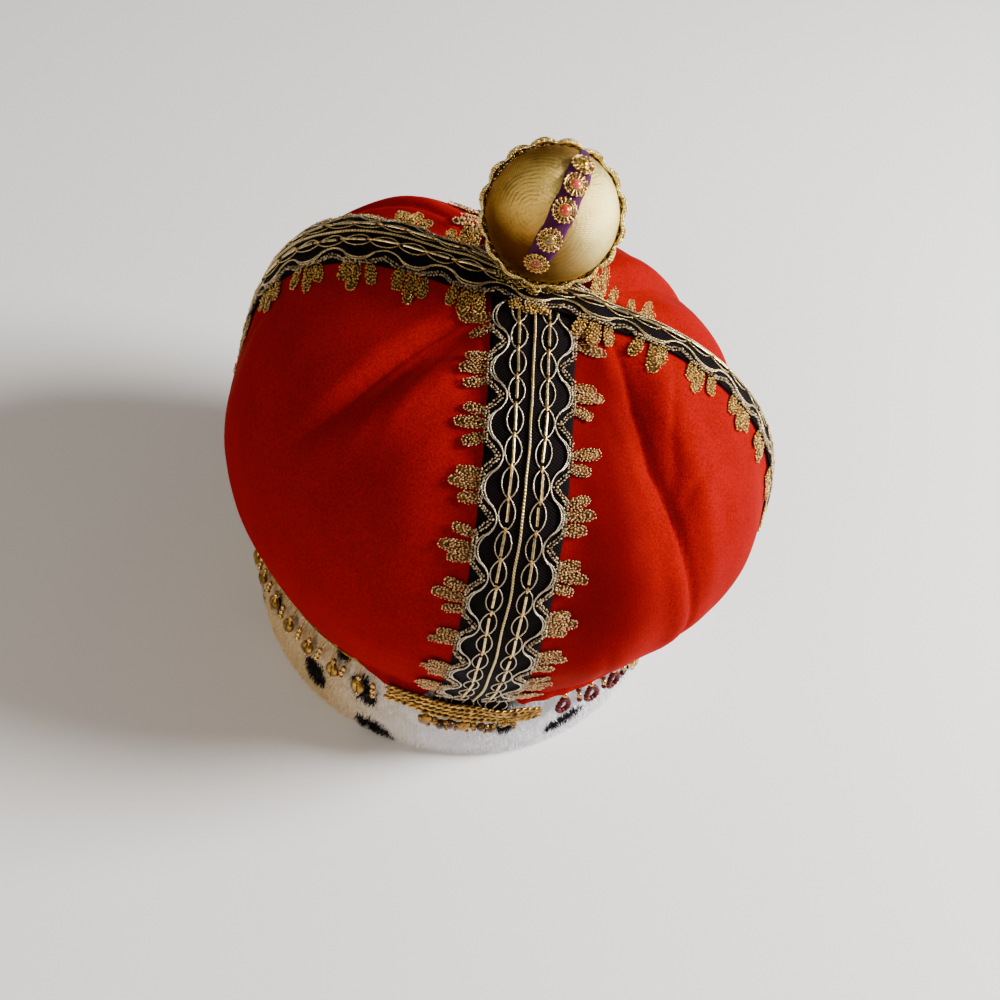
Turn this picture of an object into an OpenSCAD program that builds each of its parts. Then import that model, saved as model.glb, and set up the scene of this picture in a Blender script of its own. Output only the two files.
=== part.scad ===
// Costume crown: a puffed velvet cap on a fur band, with two lace-edged straps crossing
// under a cloth orb. Millimetres, +Z up, front at -Y, origin at the centre of the
// head opening on the surface that the band rests on.

/* [Head opening] */
// Radius of the opening that the head goes in
head_r = 92; // [86:0.5:95]

/* [Fur band] */
// Height of the band
band_h = 57; // [50:1:62]
// Widest outer radius of the band
band_r = 100.5; // [100:0.5:101]
// Outer radius of the ring that the band stands on
band_foot_r = 96.5; // [96:0.5:98]

/* [Velvet cap] */
// Outer radius of the cap at the seam with the band
rim_r = 98; // [97:0.5:99]
// Height of the middle of the cap, where it is widest
cap_mid_z = 107; // [103:1:112]
// Height of the top of the cap, under the straps
cap_top_z = 202; // [192:1:208]
// Fullness of the dome, 2 is an ellipse
dome_power = 2.1; // [2:0.05:2.4]
// How far the panels puff out between the straps
puff_h = 6; // [2:0.5:8]
// Wall of the cap, velvet and backing
cap_wall = 2.4; // [2:0.1:3]
// Slope of the top down towards the back under the cross strap, in degrees
top_fall = 24; // [10:1:28]
// Lean of the soft top towards the right
lean_x = 1; // [-4:0.5:4]
// Lean of the soft top towards the back
lean_y = 4; // [-4:0.5:6]

/* [Straps] */
// Width of the black ribbon
strap_w = 33; // [31:1:36]
// Thickness of the ribbon with its thread
strap_t = 1.5; // [1.2:0.1:2]
// Direction of the cross strap from the front, on the side opposite its left end
cross_az = 74; // [66:1:80]
// How much farther back the cross strap's right end goes, in degrees
cross_bend = 8; // [0:1:10]
// Reach of the longest lace leaf past the ribbon
lace_w = 11; // [8:1:13]
// Distance from one lace leaf to the next
lace_pitch = 23; // [20:1:28]
// Thickness of the lace
lace_t = 1.2; // [1:0.1:1.4]

/* [Orb] */
// Radius of the ball
orb_r = 25.5; // [23:0.5:26]
// Distance from the centre of the ball to the crossing of the straps
neck_len = 28; // [28:0.5:30]
// Radius of the foot of the neck
neck_r = 5; // [4:0.5:6]
// Width of the purple ribbon
orb_ribbon_w = 11; // [9:0.5:13]
// Radius of the beaded cord round the ball
orb_cord_r = 1.2; // [1:0.1:1.4]
// Number of scallops on the beaded cord
orb_scallops = 16; // [12:1:18]
// Radius of a filigree flower
flower_r = 4.8; // [4:0.1:5.2]
// Radius of the round stone in a flower
cabochon_r = 2; // [1.8:0.1:2.4]

/* [Crest] */
// Length of the crest along the band, in degrees
crest_span = 40; // [36:1:48]
// Radius of one beaded cord of the crest
crest_cord_r = 1.9; // [1.6:0.1:2.1]

/* [Bead fringe] */
// Number of drop loops that a whole turn would hold
fringe_count = 44; // [40:4:48]
// Length of the fringe from its header
fringe_drop = 15; // [12:1:17]

/* [Hidden] */

// Even clearance between pieces that touch on the real crown
gap = 0.3;
cap_cols = 72;
cap_rows = 24;
strap_steps = 60;
strap_cells = 4;
ribbon_cells = 2;
// Clearance under the straps and under their lace, where the cloth curves most
strap_seat = 3.2 * gap;
lace_seat = 3.7 * gap;
// Distance from the long strap's edge to where the cross strap starts to come down
climb_clear = 8;
// Mean radius of the cap, that widths on its surface are measured at
mean_r = 110;
// Distance from a strap's edge to where a panel has puffed out fully
puff_from_strap = 34;
// Distance from the cross strap to where the slope under it has faded
fall_from_strap = 26;

// Rows go round from the front towards the right. Columns: azimuth, reach at mid
// height, shoulder added at 45 degrees up.
GORE_AZ = 0;
GORE_REACH = 1;
GORE_SHOULDER = 2;
gores = [
    [0, 116, 7],
    [35, 117, 2],
    [77, 123, 4],
    [104, 113, -10],
    [135, 112, -8],
    [180, 110, -6],
    [216, 119, 0],
    [251, 114, 17],
    [306, 114, -2],
];

// Columns: azimuth and elevation of the start, azimuth and elevation of the end,
// bow to the left of that line, depth, width, height of the ridge beside it.
folds = [
    [-38, 73, -57, 22, 0, 7, 9, 3],
    [49, 68, 39, 8, -11, 7, 10, 3],
    [-150, 70, -128, 24, 4, 5, 10, 2],
    [118, 66, 128, 18, -5, 5, 10, 2],
    [150, 60, 160, 20, 3, 4, 10, 1],
];

rise = cap_top_z - cap_mid_z;
drop = cap_mid_z - band_h;
rim_el = -atan2(drop, rim_r);

// The straps stop just above the crest and the seam
strap_lo = rim_el + 2.5;
strap_hi = 180 - strap_lo;
// Outline of the lace over one pitch: a long leaf between two short ones
leaf_outline = [0.1, 0.5, 0.3, 0.75, 1, 0.75, 0.3, 0.5];
lace_root = 2;
lace_step = lace_pitch / len(leaf_outline) / mean_r * 180 / PI;
// The long strap's lace stops where the cross strap lies over it
lace_clear = 22;

// The ball's frame: its own -Y faces the viewer, and its own +Z is where the purple
// ribbon meets the beaded cord
orb_facing = -11;
orb_raised = 38;
orb_roll = 12;
// The neck points down and back, and widens upward from its foot
neck_back = 26;
neck_side = 8.5;
neck_dir = [
    sin(neck_side) * cos(neck_back),
    sin(neck_back),
    -cos(neck_side) * cos(neck_back)
];
neck_from = 12;
neck_wide = 20;
orb_ribbon_t = 0.8;
ribbon_turn = 7;
crossing_z = cap_top_z + strap_seat + 2 * strap_t + 3.5 * gap;
// Places of the flowers along the ribbon, from the top down
flower_at = [50, 29, 7, -18, -42];
flower_t = 1;
petals = 10;

crest_rows = 4;
crest_pitch = crest_cord_r * 1.7;
crest_low = band_h - 1 - (crest_rows - 1) * crest_pitch;
crest_r = band_at(crest_low) + gap + crest_cord_r;
// Glass drops under the crest. Columns: azimuth, depth below the seam, radius.
crest_stones = [
    [-10, 16.3, 2.6],
    [-5, 17.2, 3],
    [-0.4, 16.3, 2.6],
    [4.6, 17.5, 3.2],
    [9.6, 16.3, 2.6],
];

header_r = 1.1;
fringe_r = band_r + gap + header_r + 0.1;
fringe_z = band_h - 3.5;
fringe_from = crest_span / 2 + 3;
fringe_parts = 8;
fringe_share = (360 - 2 * fringe_from) / fringe_parts;
fringe_units = round(fringe_share * fringe_count / 360);
fringe_pitch = fringe_share / fringe_units;

function wrap(a) = a - 360 * floor(a / 360);
function clamp(x, lo, hi) = min(max(x, lo), hi);
function ease(u) = let (c = clamp(u, 0, 1)) c * c * (3 - 2 * c);
function unit(v) = v / norm(v);
function sum(list) = list * [for (i = list) 1];
function heading(az, el) = [sin(az) * cos(el), -cos(az) * cos(el), sin(el)];

// Value of one column of the gore table at any azimuth, eased between rows
function gore(az, column) =
    let (
        a = wrap(az),
        k = max([for (i = [0:len(gores) - 1]) if (gores[i][GORE_AZ] <= a) i]),
        next = (k + 1) % len(gores),
        next_az = next == 0 ? 360 : gores[next][GORE_AZ],
        u = (a - gores[k][GORE_AZ]) / (next_az - gores[k][GORE_AZ])
    )
    gores[k][column] + (gores[next][column] - gores[k][column]) * (1 - cos(180 * u)) / 2;

// Dome above mid height: a superellipse. Skirt below it: drawn in to the rim.
function dome(el, reach) =
    pow(pow(cos(el) / reach, dome_power) + pow(sin(el) / rise, dome_power), -1 / dome_power);
function skirt(el, reach) =
    reach / (cos(el) + (reach - rim_r) / drop * sqrt(clamp(el / rim_el, 0, 1)) * abs(sin(el)));

// Depth of one fold at direction d, negative in the valley and positive on its ridge
function fold_at(d, f) =
    let (
        a = heading(f[0], f[1]),
        b = heading(f[2], f[3]),
        across = unit(cross(a, b)),
        along = cross(across, a),
        s = atan2(d * along, d * a) / acos(a * b),
        fade = pow(sin(180 * clamp(0.1 + 0.85 * s, 0, 1)), 1.5),
        off = mean_r * asin(d * across) * PI / 180 - f[4] * sin(180 * clamp(s, 0, 1)),
        dip = off / f[6],
        crest = dip - 1.5
    )
    (f[7] * exp(-crest * crest) - f[5] * exp(-dip * dip)) * fade;

// The cross strap's azimuth where it has come the share t of the way to the right
function cross_turn(t) = cross_az + cross_bend * ease(0.5 + 1.5 * t);

// How far direction d lies to the right, along the cross strap
function rightward(d) = d * [sin(cross_az), -cos(cross_az), 0];

// Distances of direction d from the two straps, at the cap's surface
function off_cross(d) =
    let (a = cross_turn(rightward(d))) mean_r * (d * [cos(a), sin(a), 0]);
function off_strap(d) = min(mean_r * abs(d.x), abs(off_cross(d)));

// The front panels puff up against the cross strap and the back ones lie lower, so
// the strap slopes back. The slope fades down the sides, sooner on the left.
function fall(d, height) =
    let (
        v = off_cross(d),
        right = ease(0.5 + 1.5 * rightward(d)),
        share = ease((height - 0.45 + 0.2 * right) / (0.55 - 0.05 * right))
    )
    -tan(top_fall) * share * v * exp(-pow(v / fall_from_strap, 2));

// Radius of the cap's outer surface from its centre, in direction d
function cap_radius(d) =
    let (
        el = asin(clamp(d.z, -1, 1)),
        az = atan2(d.x, -d.y),
        reach = gore(az, GORE_REACH),
        body = el >= 0 ? dome(el, reach) : skirt(el, reach),
        shoulder = el > 0 ? gore(az, GORE_SHOULDER) * pow(sin(2 * el), 2) : 0,
        height = clamp((el - rim_el) / (90 - rim_el), 0, 1),
        puff = puff_h * ease((off_strap(d) - strap_w / 2) / puff_from_strap) * sin(180 * height),
        folded = sum([for (f = folds) fold_at(d, f)]) * ease((off_strap(d) - 12) / 14)
    )
    body + shoulder + puff + fall(d, height) + folded * ease(height * 5);

// Point on the cap in direction d, lifted off its outer surface
function cap_point(d, lift = 0) =
    let (
        el = asin(clamp(d.z, -1, 1)),
        tip = ease((el - rim_el) / -rim_el)
    )
    [lean_x * tip, lean_y * tip, cap_mid_z] + (cap_radius(d) + lift) * d;

// Faces of a grid of rows by columns, wound for a normal away from the start
function grid_faces(rows, cols, at, flip = false, closed = false) =
    [for (i = [0:rows - 2], j = [0:cols - (closed ? 1 : 2)], half = [0, 1])
        let (
            p = at + i * cols + j,
            q = at + i * cols + (j + 1) % cols,
            tri = half == 0 ? [p, p + cols, q + cols] : [p, q + cols, q]
        )
        flip ? [tri[2], tri[1], tri[0]] : tri];

module velvet_cap() {
    els = [for (i = [0:cap_rows - 1]) rim_el + (89.9 - rim_el) * i / cap_rows];
    azs = [for (j = [0:cap_cols - 1]) 360 * j / cap_cols];
    outer = [for (el = els, az = azs) cap_point(heading(az, el))];
    inner = [for (el = els, az = azs)
        let (p = cap_point(heading(az, el), -cap_wall)) el == rim_el ? [p.x, p.y, band_h] : p];
    count = cap_rows * cap_cols;
    top_out = 2 * count;
    top_in = top_out + 1;
    last = count - cap_cols;
    caps = [for (j = [0:cap_cols - 1]) let (k = (j + 1) % cap_cols)
        each [[last + j, top_out, last + k], [count + last + k, top_in, count + last + j]]];
    rim = [for (j = [0:cap_cols - 1]) let (k = (j + 1) % cap_cols)
        each [[j, k, count + k], [j, count + k, count + j]]];
    color("firebrick")
    polyhedron(
        points = concat(outer, inner, [cap_point([0, 0, 1]), cap_point([0, 0, 1], -cap_wall)]),
        faces = concat(
            grid_faces(cap_rows, cap_cols, 0, false, true),
            grid_faces(cap_rows, cap_cols, count, true, true),
            caps,
            rim
        ),
        convexity = 6
    );
}

// The fur stands out evenly and rounds over at the foot and at the seam
module fur_band() {
    steps = 14;
    side = [for (i = [0:steps])
        let (z = (band_h - gap) * i / steps)
        [band_at(z), z]];
    color("ivory")
    rotate_extrude($fn = 120)
    polygon(concat([[head_r, 0]], side, [[head_r, band_h - gap]]));
}

// Point on a strap: s goes from the rim over the top, v runs across it
function strap_point(start, s, v, lift) =
    let (
        az = start == 0 ? 0 : cross_turn(cos(s)),
        d = [sin(az) * cos(s), -cos(az) * cos(s), sin(s)],
        side = [cos(az), sin(az), 0],
        out = unit(d * cap_radius(d) + side * v)
    )
    cap_point(out, lift);

// The cross strap climbs over the long strap where they meet
function climb(start, s, v) =
    start == 0 ? 0
    : let (
        turn = cross_turn(cos(s)),
        across = sin(turn) * cos(s) * mean_r + cos(turn) * v,
        off = abs(across)
    )
    (strap_t + 2 * gap) * (1 - ease((off - strap_w / 2 - climb_clear) / 12));

// Closed strip between two edges. Each row of it is [s, v at one edge, v at the other].
module strip(az, rows, cells, thick, seat) {
    cols = cells + 1;
    count = len(rows) * cols;
    sheet = function (lift) [for (r = rows, j = [0:cells])
        let (v = r[1] + (r[2] - r[1]) * j / cells)
        strap_point(az, r[0], v, lift + climb(az, r[0], v))];
    last = count - cols;
    sides = [for (i = [0:len(rows) - 2]) let (p = i * cols, q = p + cells)
        each [
            [p, count + p, count + p + cols], [p, count + p + cols, p + cols],
            [q + cols, count + q + cols, count + q], [q + cols, count + q, q]
        ]];
    ends = [for (j = [0:cells - 1])
        each [
            [j + 1, count + j + 1, count + j], [j + 1, count + j, j],
            [last + j, count + last + j, count + last + j + 1],
            [last + j, count + last + j + 1, last + j + 1]
        ]];
    polyhedron(
        points = concat(sheet(seat + thick), sheet(seat)),
        faces = concat(
            grid_faces(len(rows), cols, 0),
            grid_faces(len(rows), cols, count, true),
            sides,
            ends
        ),
        convexity = 8
    );
}

module strap(az) {
    rows = [for (i = [0:strap_steps])
        [strap_lo + (strap_hi - strap_lo) * i / strap_steps, -strap_w / 2, strap_w / 2]];
    color("black")
    strip(az, rows, strap_cells, strap_t, strap_seat);
}

module lace(az, lo, hi, side) {
    rows = [for (i = [0:floor((hi - lo) / lace_step)])
        let (
            inner = strap_w / 2 + gap,
            outer = inner + lace_root + (lace_w - lace_root) * leaf_outline[i % len(leaf_outline)]
        )
        side > 0 ? [lo + i * lace_step, inner, outer] : [lo + i * lace_step, -outer, -inner]];
    color("goldenrod")
    strip(az, rows, 1, lace_t, lace_seat);
}

module long_strap() {
    strap(0);
}

module cross_strap() {
    strap(cross_az);
}

module long_lace() {
    for (side = [-1, 1]) {
        lace(0, strap_lo + 2, 90 - lace_clear, side);
        lace(0, 90 + lace_clear, strap_hi - 2, side);
    }
}

module cross_lace() {
    for (side = [-1, 1]) lace(cross_az, strap_lo + 2, strap_hi - 2, side);
}

module at_orb() {
    translate([lean_x, lean_y, crossing_z])
    rotate([0, 0, orb_facing])
    rotate([-orb_raised, 0, 0])
    rotate([0, orb_roll, 0])
    translate(-neck_len * neck_dir)
    children();
}

// Radius of the ball with its neck, in direction d of its own frame
function orb_reach(d) =
    let (
        slope = (neck_wide - neck_r) / (neck_len - neck_from),
        turn = acos(clamp(d * neck_dir, -1, 1))
    )
    turn > 60 ? orb_r : max(orb_r, (neck_r + neck_len * slope) / (sin(turn) + slope * cos(turn)));

// The neck's foot is cut along the slope of the strap that it stands on
module orb() {
    foot = 60;
    color("darkkhaki")
    difference() {
        at_orb() {
            sphere(r = orb_r, $fn = 90);
            rotate([0, acos(neck_dir.z), atan2(neck_dir.y, neck_dir.x)])
            translate([0, 0, neck_from])
            cylinder(h = neck_len + 4 - neck_from, r1 = neck_wide,
                r2 = neck_r - 4 * (neck_wide - neck_r) / (neck_len - neck_from), $fn = 90);
        }
        translate([lean_x, lean_y, crossing_z])
        rotate(top_fall, [-sin(cross_turn(0)), cos(cross_turn(0)), 0])
        translate([-foot / 2, -foot / 2, -foot])
        cube(foot);
    }
}

// Closed tube round the ball, thicker at each scallop
module orb_trim() {
    sides = 8;
    turns = 4 * orb_scallops;
    points = [for (i = [0:turns - 1], j = [0:sides - 1])
        let (
            a = 360 * i / turns,
            d = [sin(a), 0, cos(a)],
            tube = orb_cord_r * (0.85 + 0.5 * pow(sin(180 * (i % 4) / 4), 2)),
            mid = orb_reach(d) + gap + 1.35 * orb_cord_r,
            t = 360 * j / sides
        )
        d * (mid + tube * cos(t)) + [0, tube * sin(t), 0]];
    color("gold")
    at_orb()
    polyhedron(
        points = points,
        faces = [for (i = [0:turns - 1], j = [0:sides - 1])
            let (
                k = (i + 1) % turns,
                m = (j + 1) % sides,
                p = [i * sides + j, i * sides + m, k * sides + m, k * sides + j]
            )
            each [[p[0], p[2], p[1]], [p[0], p[3], p[2]]]],
        convexity = 6
    );
}

// Direction on the ribbon's line, measured up from the side that faces the viewer
function ribbon_dir(a) =
    [sin(ribbon_turn) * cos(a), -cos(ribbon_turn) * cos(a), sin(a)];

module ribbon_strip(lo, hi) {
    steps = ceil((hi - lo) / 6);
    cols = ribbon_cells + 1;
    count = (steps + 1) * cols;
    sheet = function (lift) [for (i = [0:steps], j = [0:ribbon_cells])
        let (
            a = lo + (hi - lo) * i / steps,
            v = orb_ribbon_w * (j / ribbon_cells - 0.5),
            d = unit(ribbon_dir(a) * orb_r + [cos(ribbon_turn), sin(ribbon_turn), 0] * v)
        )
        d * (orb_reach(d) + gap + lift)];
    last = count - cols;
    sides = [for (i = [0:steps - 1]) let (p = i * cols, q = p + ribbon_cells)
        each [
            [p, count + p, count + p + cols], [p, count + p + cols, p + cols],
            [q + cols, count + q + cols, count + q], [q + cols, count + q, q]
        ]];
    ends = [for (j = [0:ribbon_cells - 1])
        each [
            [j + 1, count + j + 1, count + j], [j + 1, count + j, j],
            [last + j, count + last + j, count + last + j + 1],
            [last + j, count + last + j + 1, last + j + 1]
        ]];
    color("indigo")
    at_orb()
    polyhedron(
        points = concat(sheet(orb_ribbon_t), sheet(0)),
        faces = concat(
            grid_faces(steps + 1, cols, 0),
            grid_faces(steps + 1, cols, count, true),
            sides,
            ends
        ),
        convexity = 6
    );
}

// Front run with the flowers, and a plain run down the back
module orb_ribbon() {
    ribbon_strip(-64, 83);
    ribbon_strip(97, 190);
}

module at_flower(k) {
    a = flower_at[k - 1];
    at_orb()
    rotate([0, 0, ribbon_turn])
    rotate([90 - a, 0, 0])
    translate([0, 0, orb_r + orb_ribbon_t + 2 * gap])
    children();
}

module flower(k) {
    color("gold")
    at_flower(k) {
        cylinder(h = flower_t, r = flower_r - 1, $fn = 48);
        for (i = [0:petals - 1])
            rotate([0, 0, 360 * i / petals])
            translate([flower_r - 1.2, 0, 0])
            cylinder(h = flower_t, r = 1.2, $fn = 24);
    }
}

module cabochon(k) {
    color(k == 1 ? "gold" : k == 4 ? "saddlebrown" : "orangered")
    at_flower(k)
    translate([0, 0, flower_t + gap])
    intersection() {
        sphere(r = cabochon_r, $fn = 36);
        translate([-cabochon_r, -cabochon_r, 0]) cube(2 * cabochon_r);
    }
}

// Outer radius of the fur at height z
function band_at(z) =
    band_foot_r + (band_r - band_foot_r) * sqrt(sin(180 * clamp(z / (band_h - gap), 0, 1)));

module ring_arc(r, z, tube, from, to) {
    rotate([0, 0, from - 90])
    rotate_extrude(angle = to - from, $fn = 120)
    translate([r, z])
    circle(r = tube, $fn = 24);
}

module at_band(az, r, z) {
    rotate([0, 0, az])
    translate([0, -r, z])
    children();
}

module front_crest() {
    post_r = crest_cord_r * 1.2;
    post_out = 0.6;
    color("goldenrod") {
        for (i = [0:crest_rows - 1])
            ring_arc(crest_r, crest_low + i * crest_pitch, crest_cord_r,
                -crest_span / 2, crest_span / 2);
        for (end = [-1, 1])
            at_band(end * crest_span / 2, crest_r + post_out, crest_low - post_r)
            cylinder(h = 2 * post_r + (crest_rows - 1) * crest_pitch, r = post_r, $fn = 32);
    }
}

module crest_stone(k) {
    s = crest_stones[k - 1];
    color("darkgoldenrod")
    at_band(s[0], band_at(band_h - s[1]) + gap + s[2], band_h - s[1])
    sphere(r = s[2], $fn = 32);
}

// A header cord, and along it a drop loop and a short strand in turn
module fringe(from, to) {
    loop_r = 3;
    loop_wall = 1.6;
    loop_t = 1.8;
    thread_r = 0.6;
    strand_r = 0.8;
    bead_r = 1.15;
    strand = fringe_drop * 0.62;
    thread = fringe_drop - 2 * loop_r + thread_r;
    color("goldenrod") {
        ring_arc(fringe_r, fringe_z, header_r, from + 0.2, to - 0.2);
        for (i = [0:fringe_units - 1]) {
            at_band(from + (i + 0.25) * fringe_pitch, fringe_r, fringe_z) {
                translate([0, 0, -thread])
                cylinder(h = thread, r = thread_r, $fn = 16);
                translate([0, 0, loop_r - fringe_drop])
                rotate([90, 0, 0])
                difference() {
                    cylinder(h = loop_t, r = loop_r, center = true, $fn = 32);
                    cylinder(h = loop_t + 1, r = loop_r - loop_wall, center = true, $fn = 24);
                }
            }
            at_band(from + (i + 0.75) * fringe_pitch, fringe_r, fringe_z - strand) {
                cylinder(h = strand, r = strand_r, $fn = 16);
                sphere(r = bead_r, $fn = 20);
            }
        }
    }
}

module fringe_part(k) {
    fringe(fringe_from + (k - 1) * fringe_share, fringe_from + k * fringe_share);
}

fur_band();
velvet_cap();
long_strap();
cross_strap();
long_lace();
cross_lace();
orb();
orb_trim();
orb_ribbon();
flower(1);  // orb_flower_1
flower(2);  // orb_flower_2
flower(3);  // orb_flower_3
flower(4);  // orb_flower_4
flower(5);  // orb_flower_5
cabochon(1);  // orb_stone_1
cabochon(2);  // orb_stone_2
cabochon(3);  // orb_stone_3
cabochon(4);  // orb_stone_4
cabochon(5);  // orb_stone_5
front_crest();
crest_stone(1);  // crest_stone_1
crest_stone(2);  // crest_stone_2
crest_stone(3);  // crest_stone_3
crest_stone(4);  // crest_stone_4
crest_stone(5);  // crest_stone_5
fringe_part(1);  // fringe_1
fringe_part(2);  // fringe_2
fringe_part(3);  // fringe_3
fringe_part(4);  // fringe_4
fringe_part(5);  // fringe_5
fringe_part(6);  // fringe_6
fringe_part(7);  // fringe_7
fringe_part(8);  // fringe_8
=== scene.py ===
"""Costume crown: velvet cap, fur band, laced straps, cloth orb, crest and bead fringe."""
import math

import bpy
import numpy as np
from bpy.props import FloatProperty, FloatVectorProperty, IntProperty, PointerProperty
from mathutils import Matrix, Vector, noise
from mathutils.bvhtree import BVHTree


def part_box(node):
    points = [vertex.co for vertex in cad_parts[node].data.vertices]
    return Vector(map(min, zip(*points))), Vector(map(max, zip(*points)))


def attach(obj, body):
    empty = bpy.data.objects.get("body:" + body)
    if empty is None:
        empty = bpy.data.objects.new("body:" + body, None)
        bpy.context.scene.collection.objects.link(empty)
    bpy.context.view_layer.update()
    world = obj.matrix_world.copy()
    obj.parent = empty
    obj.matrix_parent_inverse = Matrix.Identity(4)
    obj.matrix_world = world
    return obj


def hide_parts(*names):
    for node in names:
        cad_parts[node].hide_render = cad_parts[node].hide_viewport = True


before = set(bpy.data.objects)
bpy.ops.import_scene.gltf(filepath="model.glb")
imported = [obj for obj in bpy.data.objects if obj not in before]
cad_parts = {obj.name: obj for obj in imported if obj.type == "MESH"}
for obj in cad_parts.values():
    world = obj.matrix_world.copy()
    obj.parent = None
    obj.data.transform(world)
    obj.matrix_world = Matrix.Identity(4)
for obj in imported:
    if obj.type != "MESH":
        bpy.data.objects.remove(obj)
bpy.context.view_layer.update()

bl_info = {
    "name": "Costume Crown",
    "version": (1, 0, 0),
    "blender": (4, 5, 0),
    "location": "3D View > Sidebar > Crown",
    "description": "Dresses the solid crown in velvet, fur, thread work, cloth and beads",
    "category": "Add Mesh",
}

# Sizes are in millimetres and angles in degrees, unless a name says otherwise.
# The cap is measured from its middle at MID_Z, which leans to the crossing of the straps at the top.
BAND_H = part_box("velvet_cap")[0][2] * 1000
SEAM_Z = BAND_H + 0.2
MID_Z = 107.0
RIM_EL = -math.degrees(math.atan2(MID_Z - BAND_H, 98.0))
LEAN = np.array([1.0, 4.0, 0.0])
CROSSING = np.array([1.0, 4.0, 207.01])
MEAN_R = 110.0
HEAD_R = 92.0
# The cross strap runs at CROSS_AZ on its left side and CROSS_BEND further round on its right.
CROSS_AZ, CROSS_BEND = 74.0, 8.0
STRAP_W = 33.0
# The cross strap climbs over the long one, level for CLIMB_CLEAR past its edge.
CLIMB, CLIMB_CLEAR = 2.1, 8.0
CLUSTER_PITCH = 23.0
BAND_R, BAND_FOOT_R = 100.5, 96.5
FRINGE_R, FRINGE_Z = 102.0, BAND_H - 3.5
CREST_R, CREST_Z, CREST_PITCH = 101.4, BAND_H - 10.7, 3.5
ORB_R = 25.5
ROUND = 2 * np.pi


# Small geometry helpers

def ease(u):
    """Smooth step from 0 to 1."""
    c = np.clip(u, 0.0, 1.0)
    return c * c * (3.0 - 2.0 * c)


def bell(x, wide):
    """Bell curve with its top of 1 at 0."""
    return np.exp(-(x / wide) ** 2)


def fuller(wave, power):
    """A wave with wider crests."""
    return np.sign(wave) * np.abs(wave) ** power


def unit(v):
    """Vectors at a length of 1."""
    return v / np.linalg.norm(v, axis=-1, keepdims=True)


def stack(*parts):
    """Points from their coordinates, each an array or one number for all."""
    return np.stack(np.broadcast_arrays(*parts), axis=-1)


def grid(slow, fast):
    """Every pair of two rows of numbers."""
    return (v.ravel() for v in np.meshgrid(slow, fast, indexing="ij"))


def ring_of(count):
    """Angles of a number of places round a ring, in radians."""
    return np.linspace(0, ROUND, count, endpoint=False)


def run_along(path):
    """Length along a path at each of its points."""
    return np.concatenate([[0], np.cumsum(np.linalg.norm(np.diff(path, axis=0), axis=1))])


def heading(az, el):
    """Direction at azimuth az from the front towards the right, and elevation el."""
    a, e = np.radians(az), np.radians(el)
    return stack(np.sin(a) * np.cos(e), -np.cos(a) * np.cos(e), np.sin(e))


def angles(d):
    """Azimuth and elevation of directions d."""
    return np.degrees(np.arctan2(d[..., 0], -d[..., 1])), np.degrees(np.arcsin(np.clip(d[..., 2], -1, 1)))


def from_front(az):
    """Azimuth from -180 to 180."""
    return (az + 180) % 360 - 180


def roughly(points, scale, seed=0.0):
    """Smooth noise from -1 to 1 at each point, with bumps about scale millimetres wide."""
    return np.array([noise.noise(Vector(p) / scale + Vector((seed, -seed, 0.5 * seed))) for p in points])


def grid_faces(rows, cols, closed=False, looped=False, flip=False):
    """Quads of a grid of rows by cols points, closed round the columns, and round the rows if looped."""
    i, j = np.meshgrid(np.arange(rows if looped else rows - 1), np.arange(cols if closed else cols - 1),
                       indexing="ij")
    a, b = i * cols + j, i * cols + (j + 1) % cols
    quads = stack(a, b, (b + cols) % (rows * cols), (a + cols) % (rows * cols)).reshape(-1, 4)
    return quads[:, ::-1] if flip else quads


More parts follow.
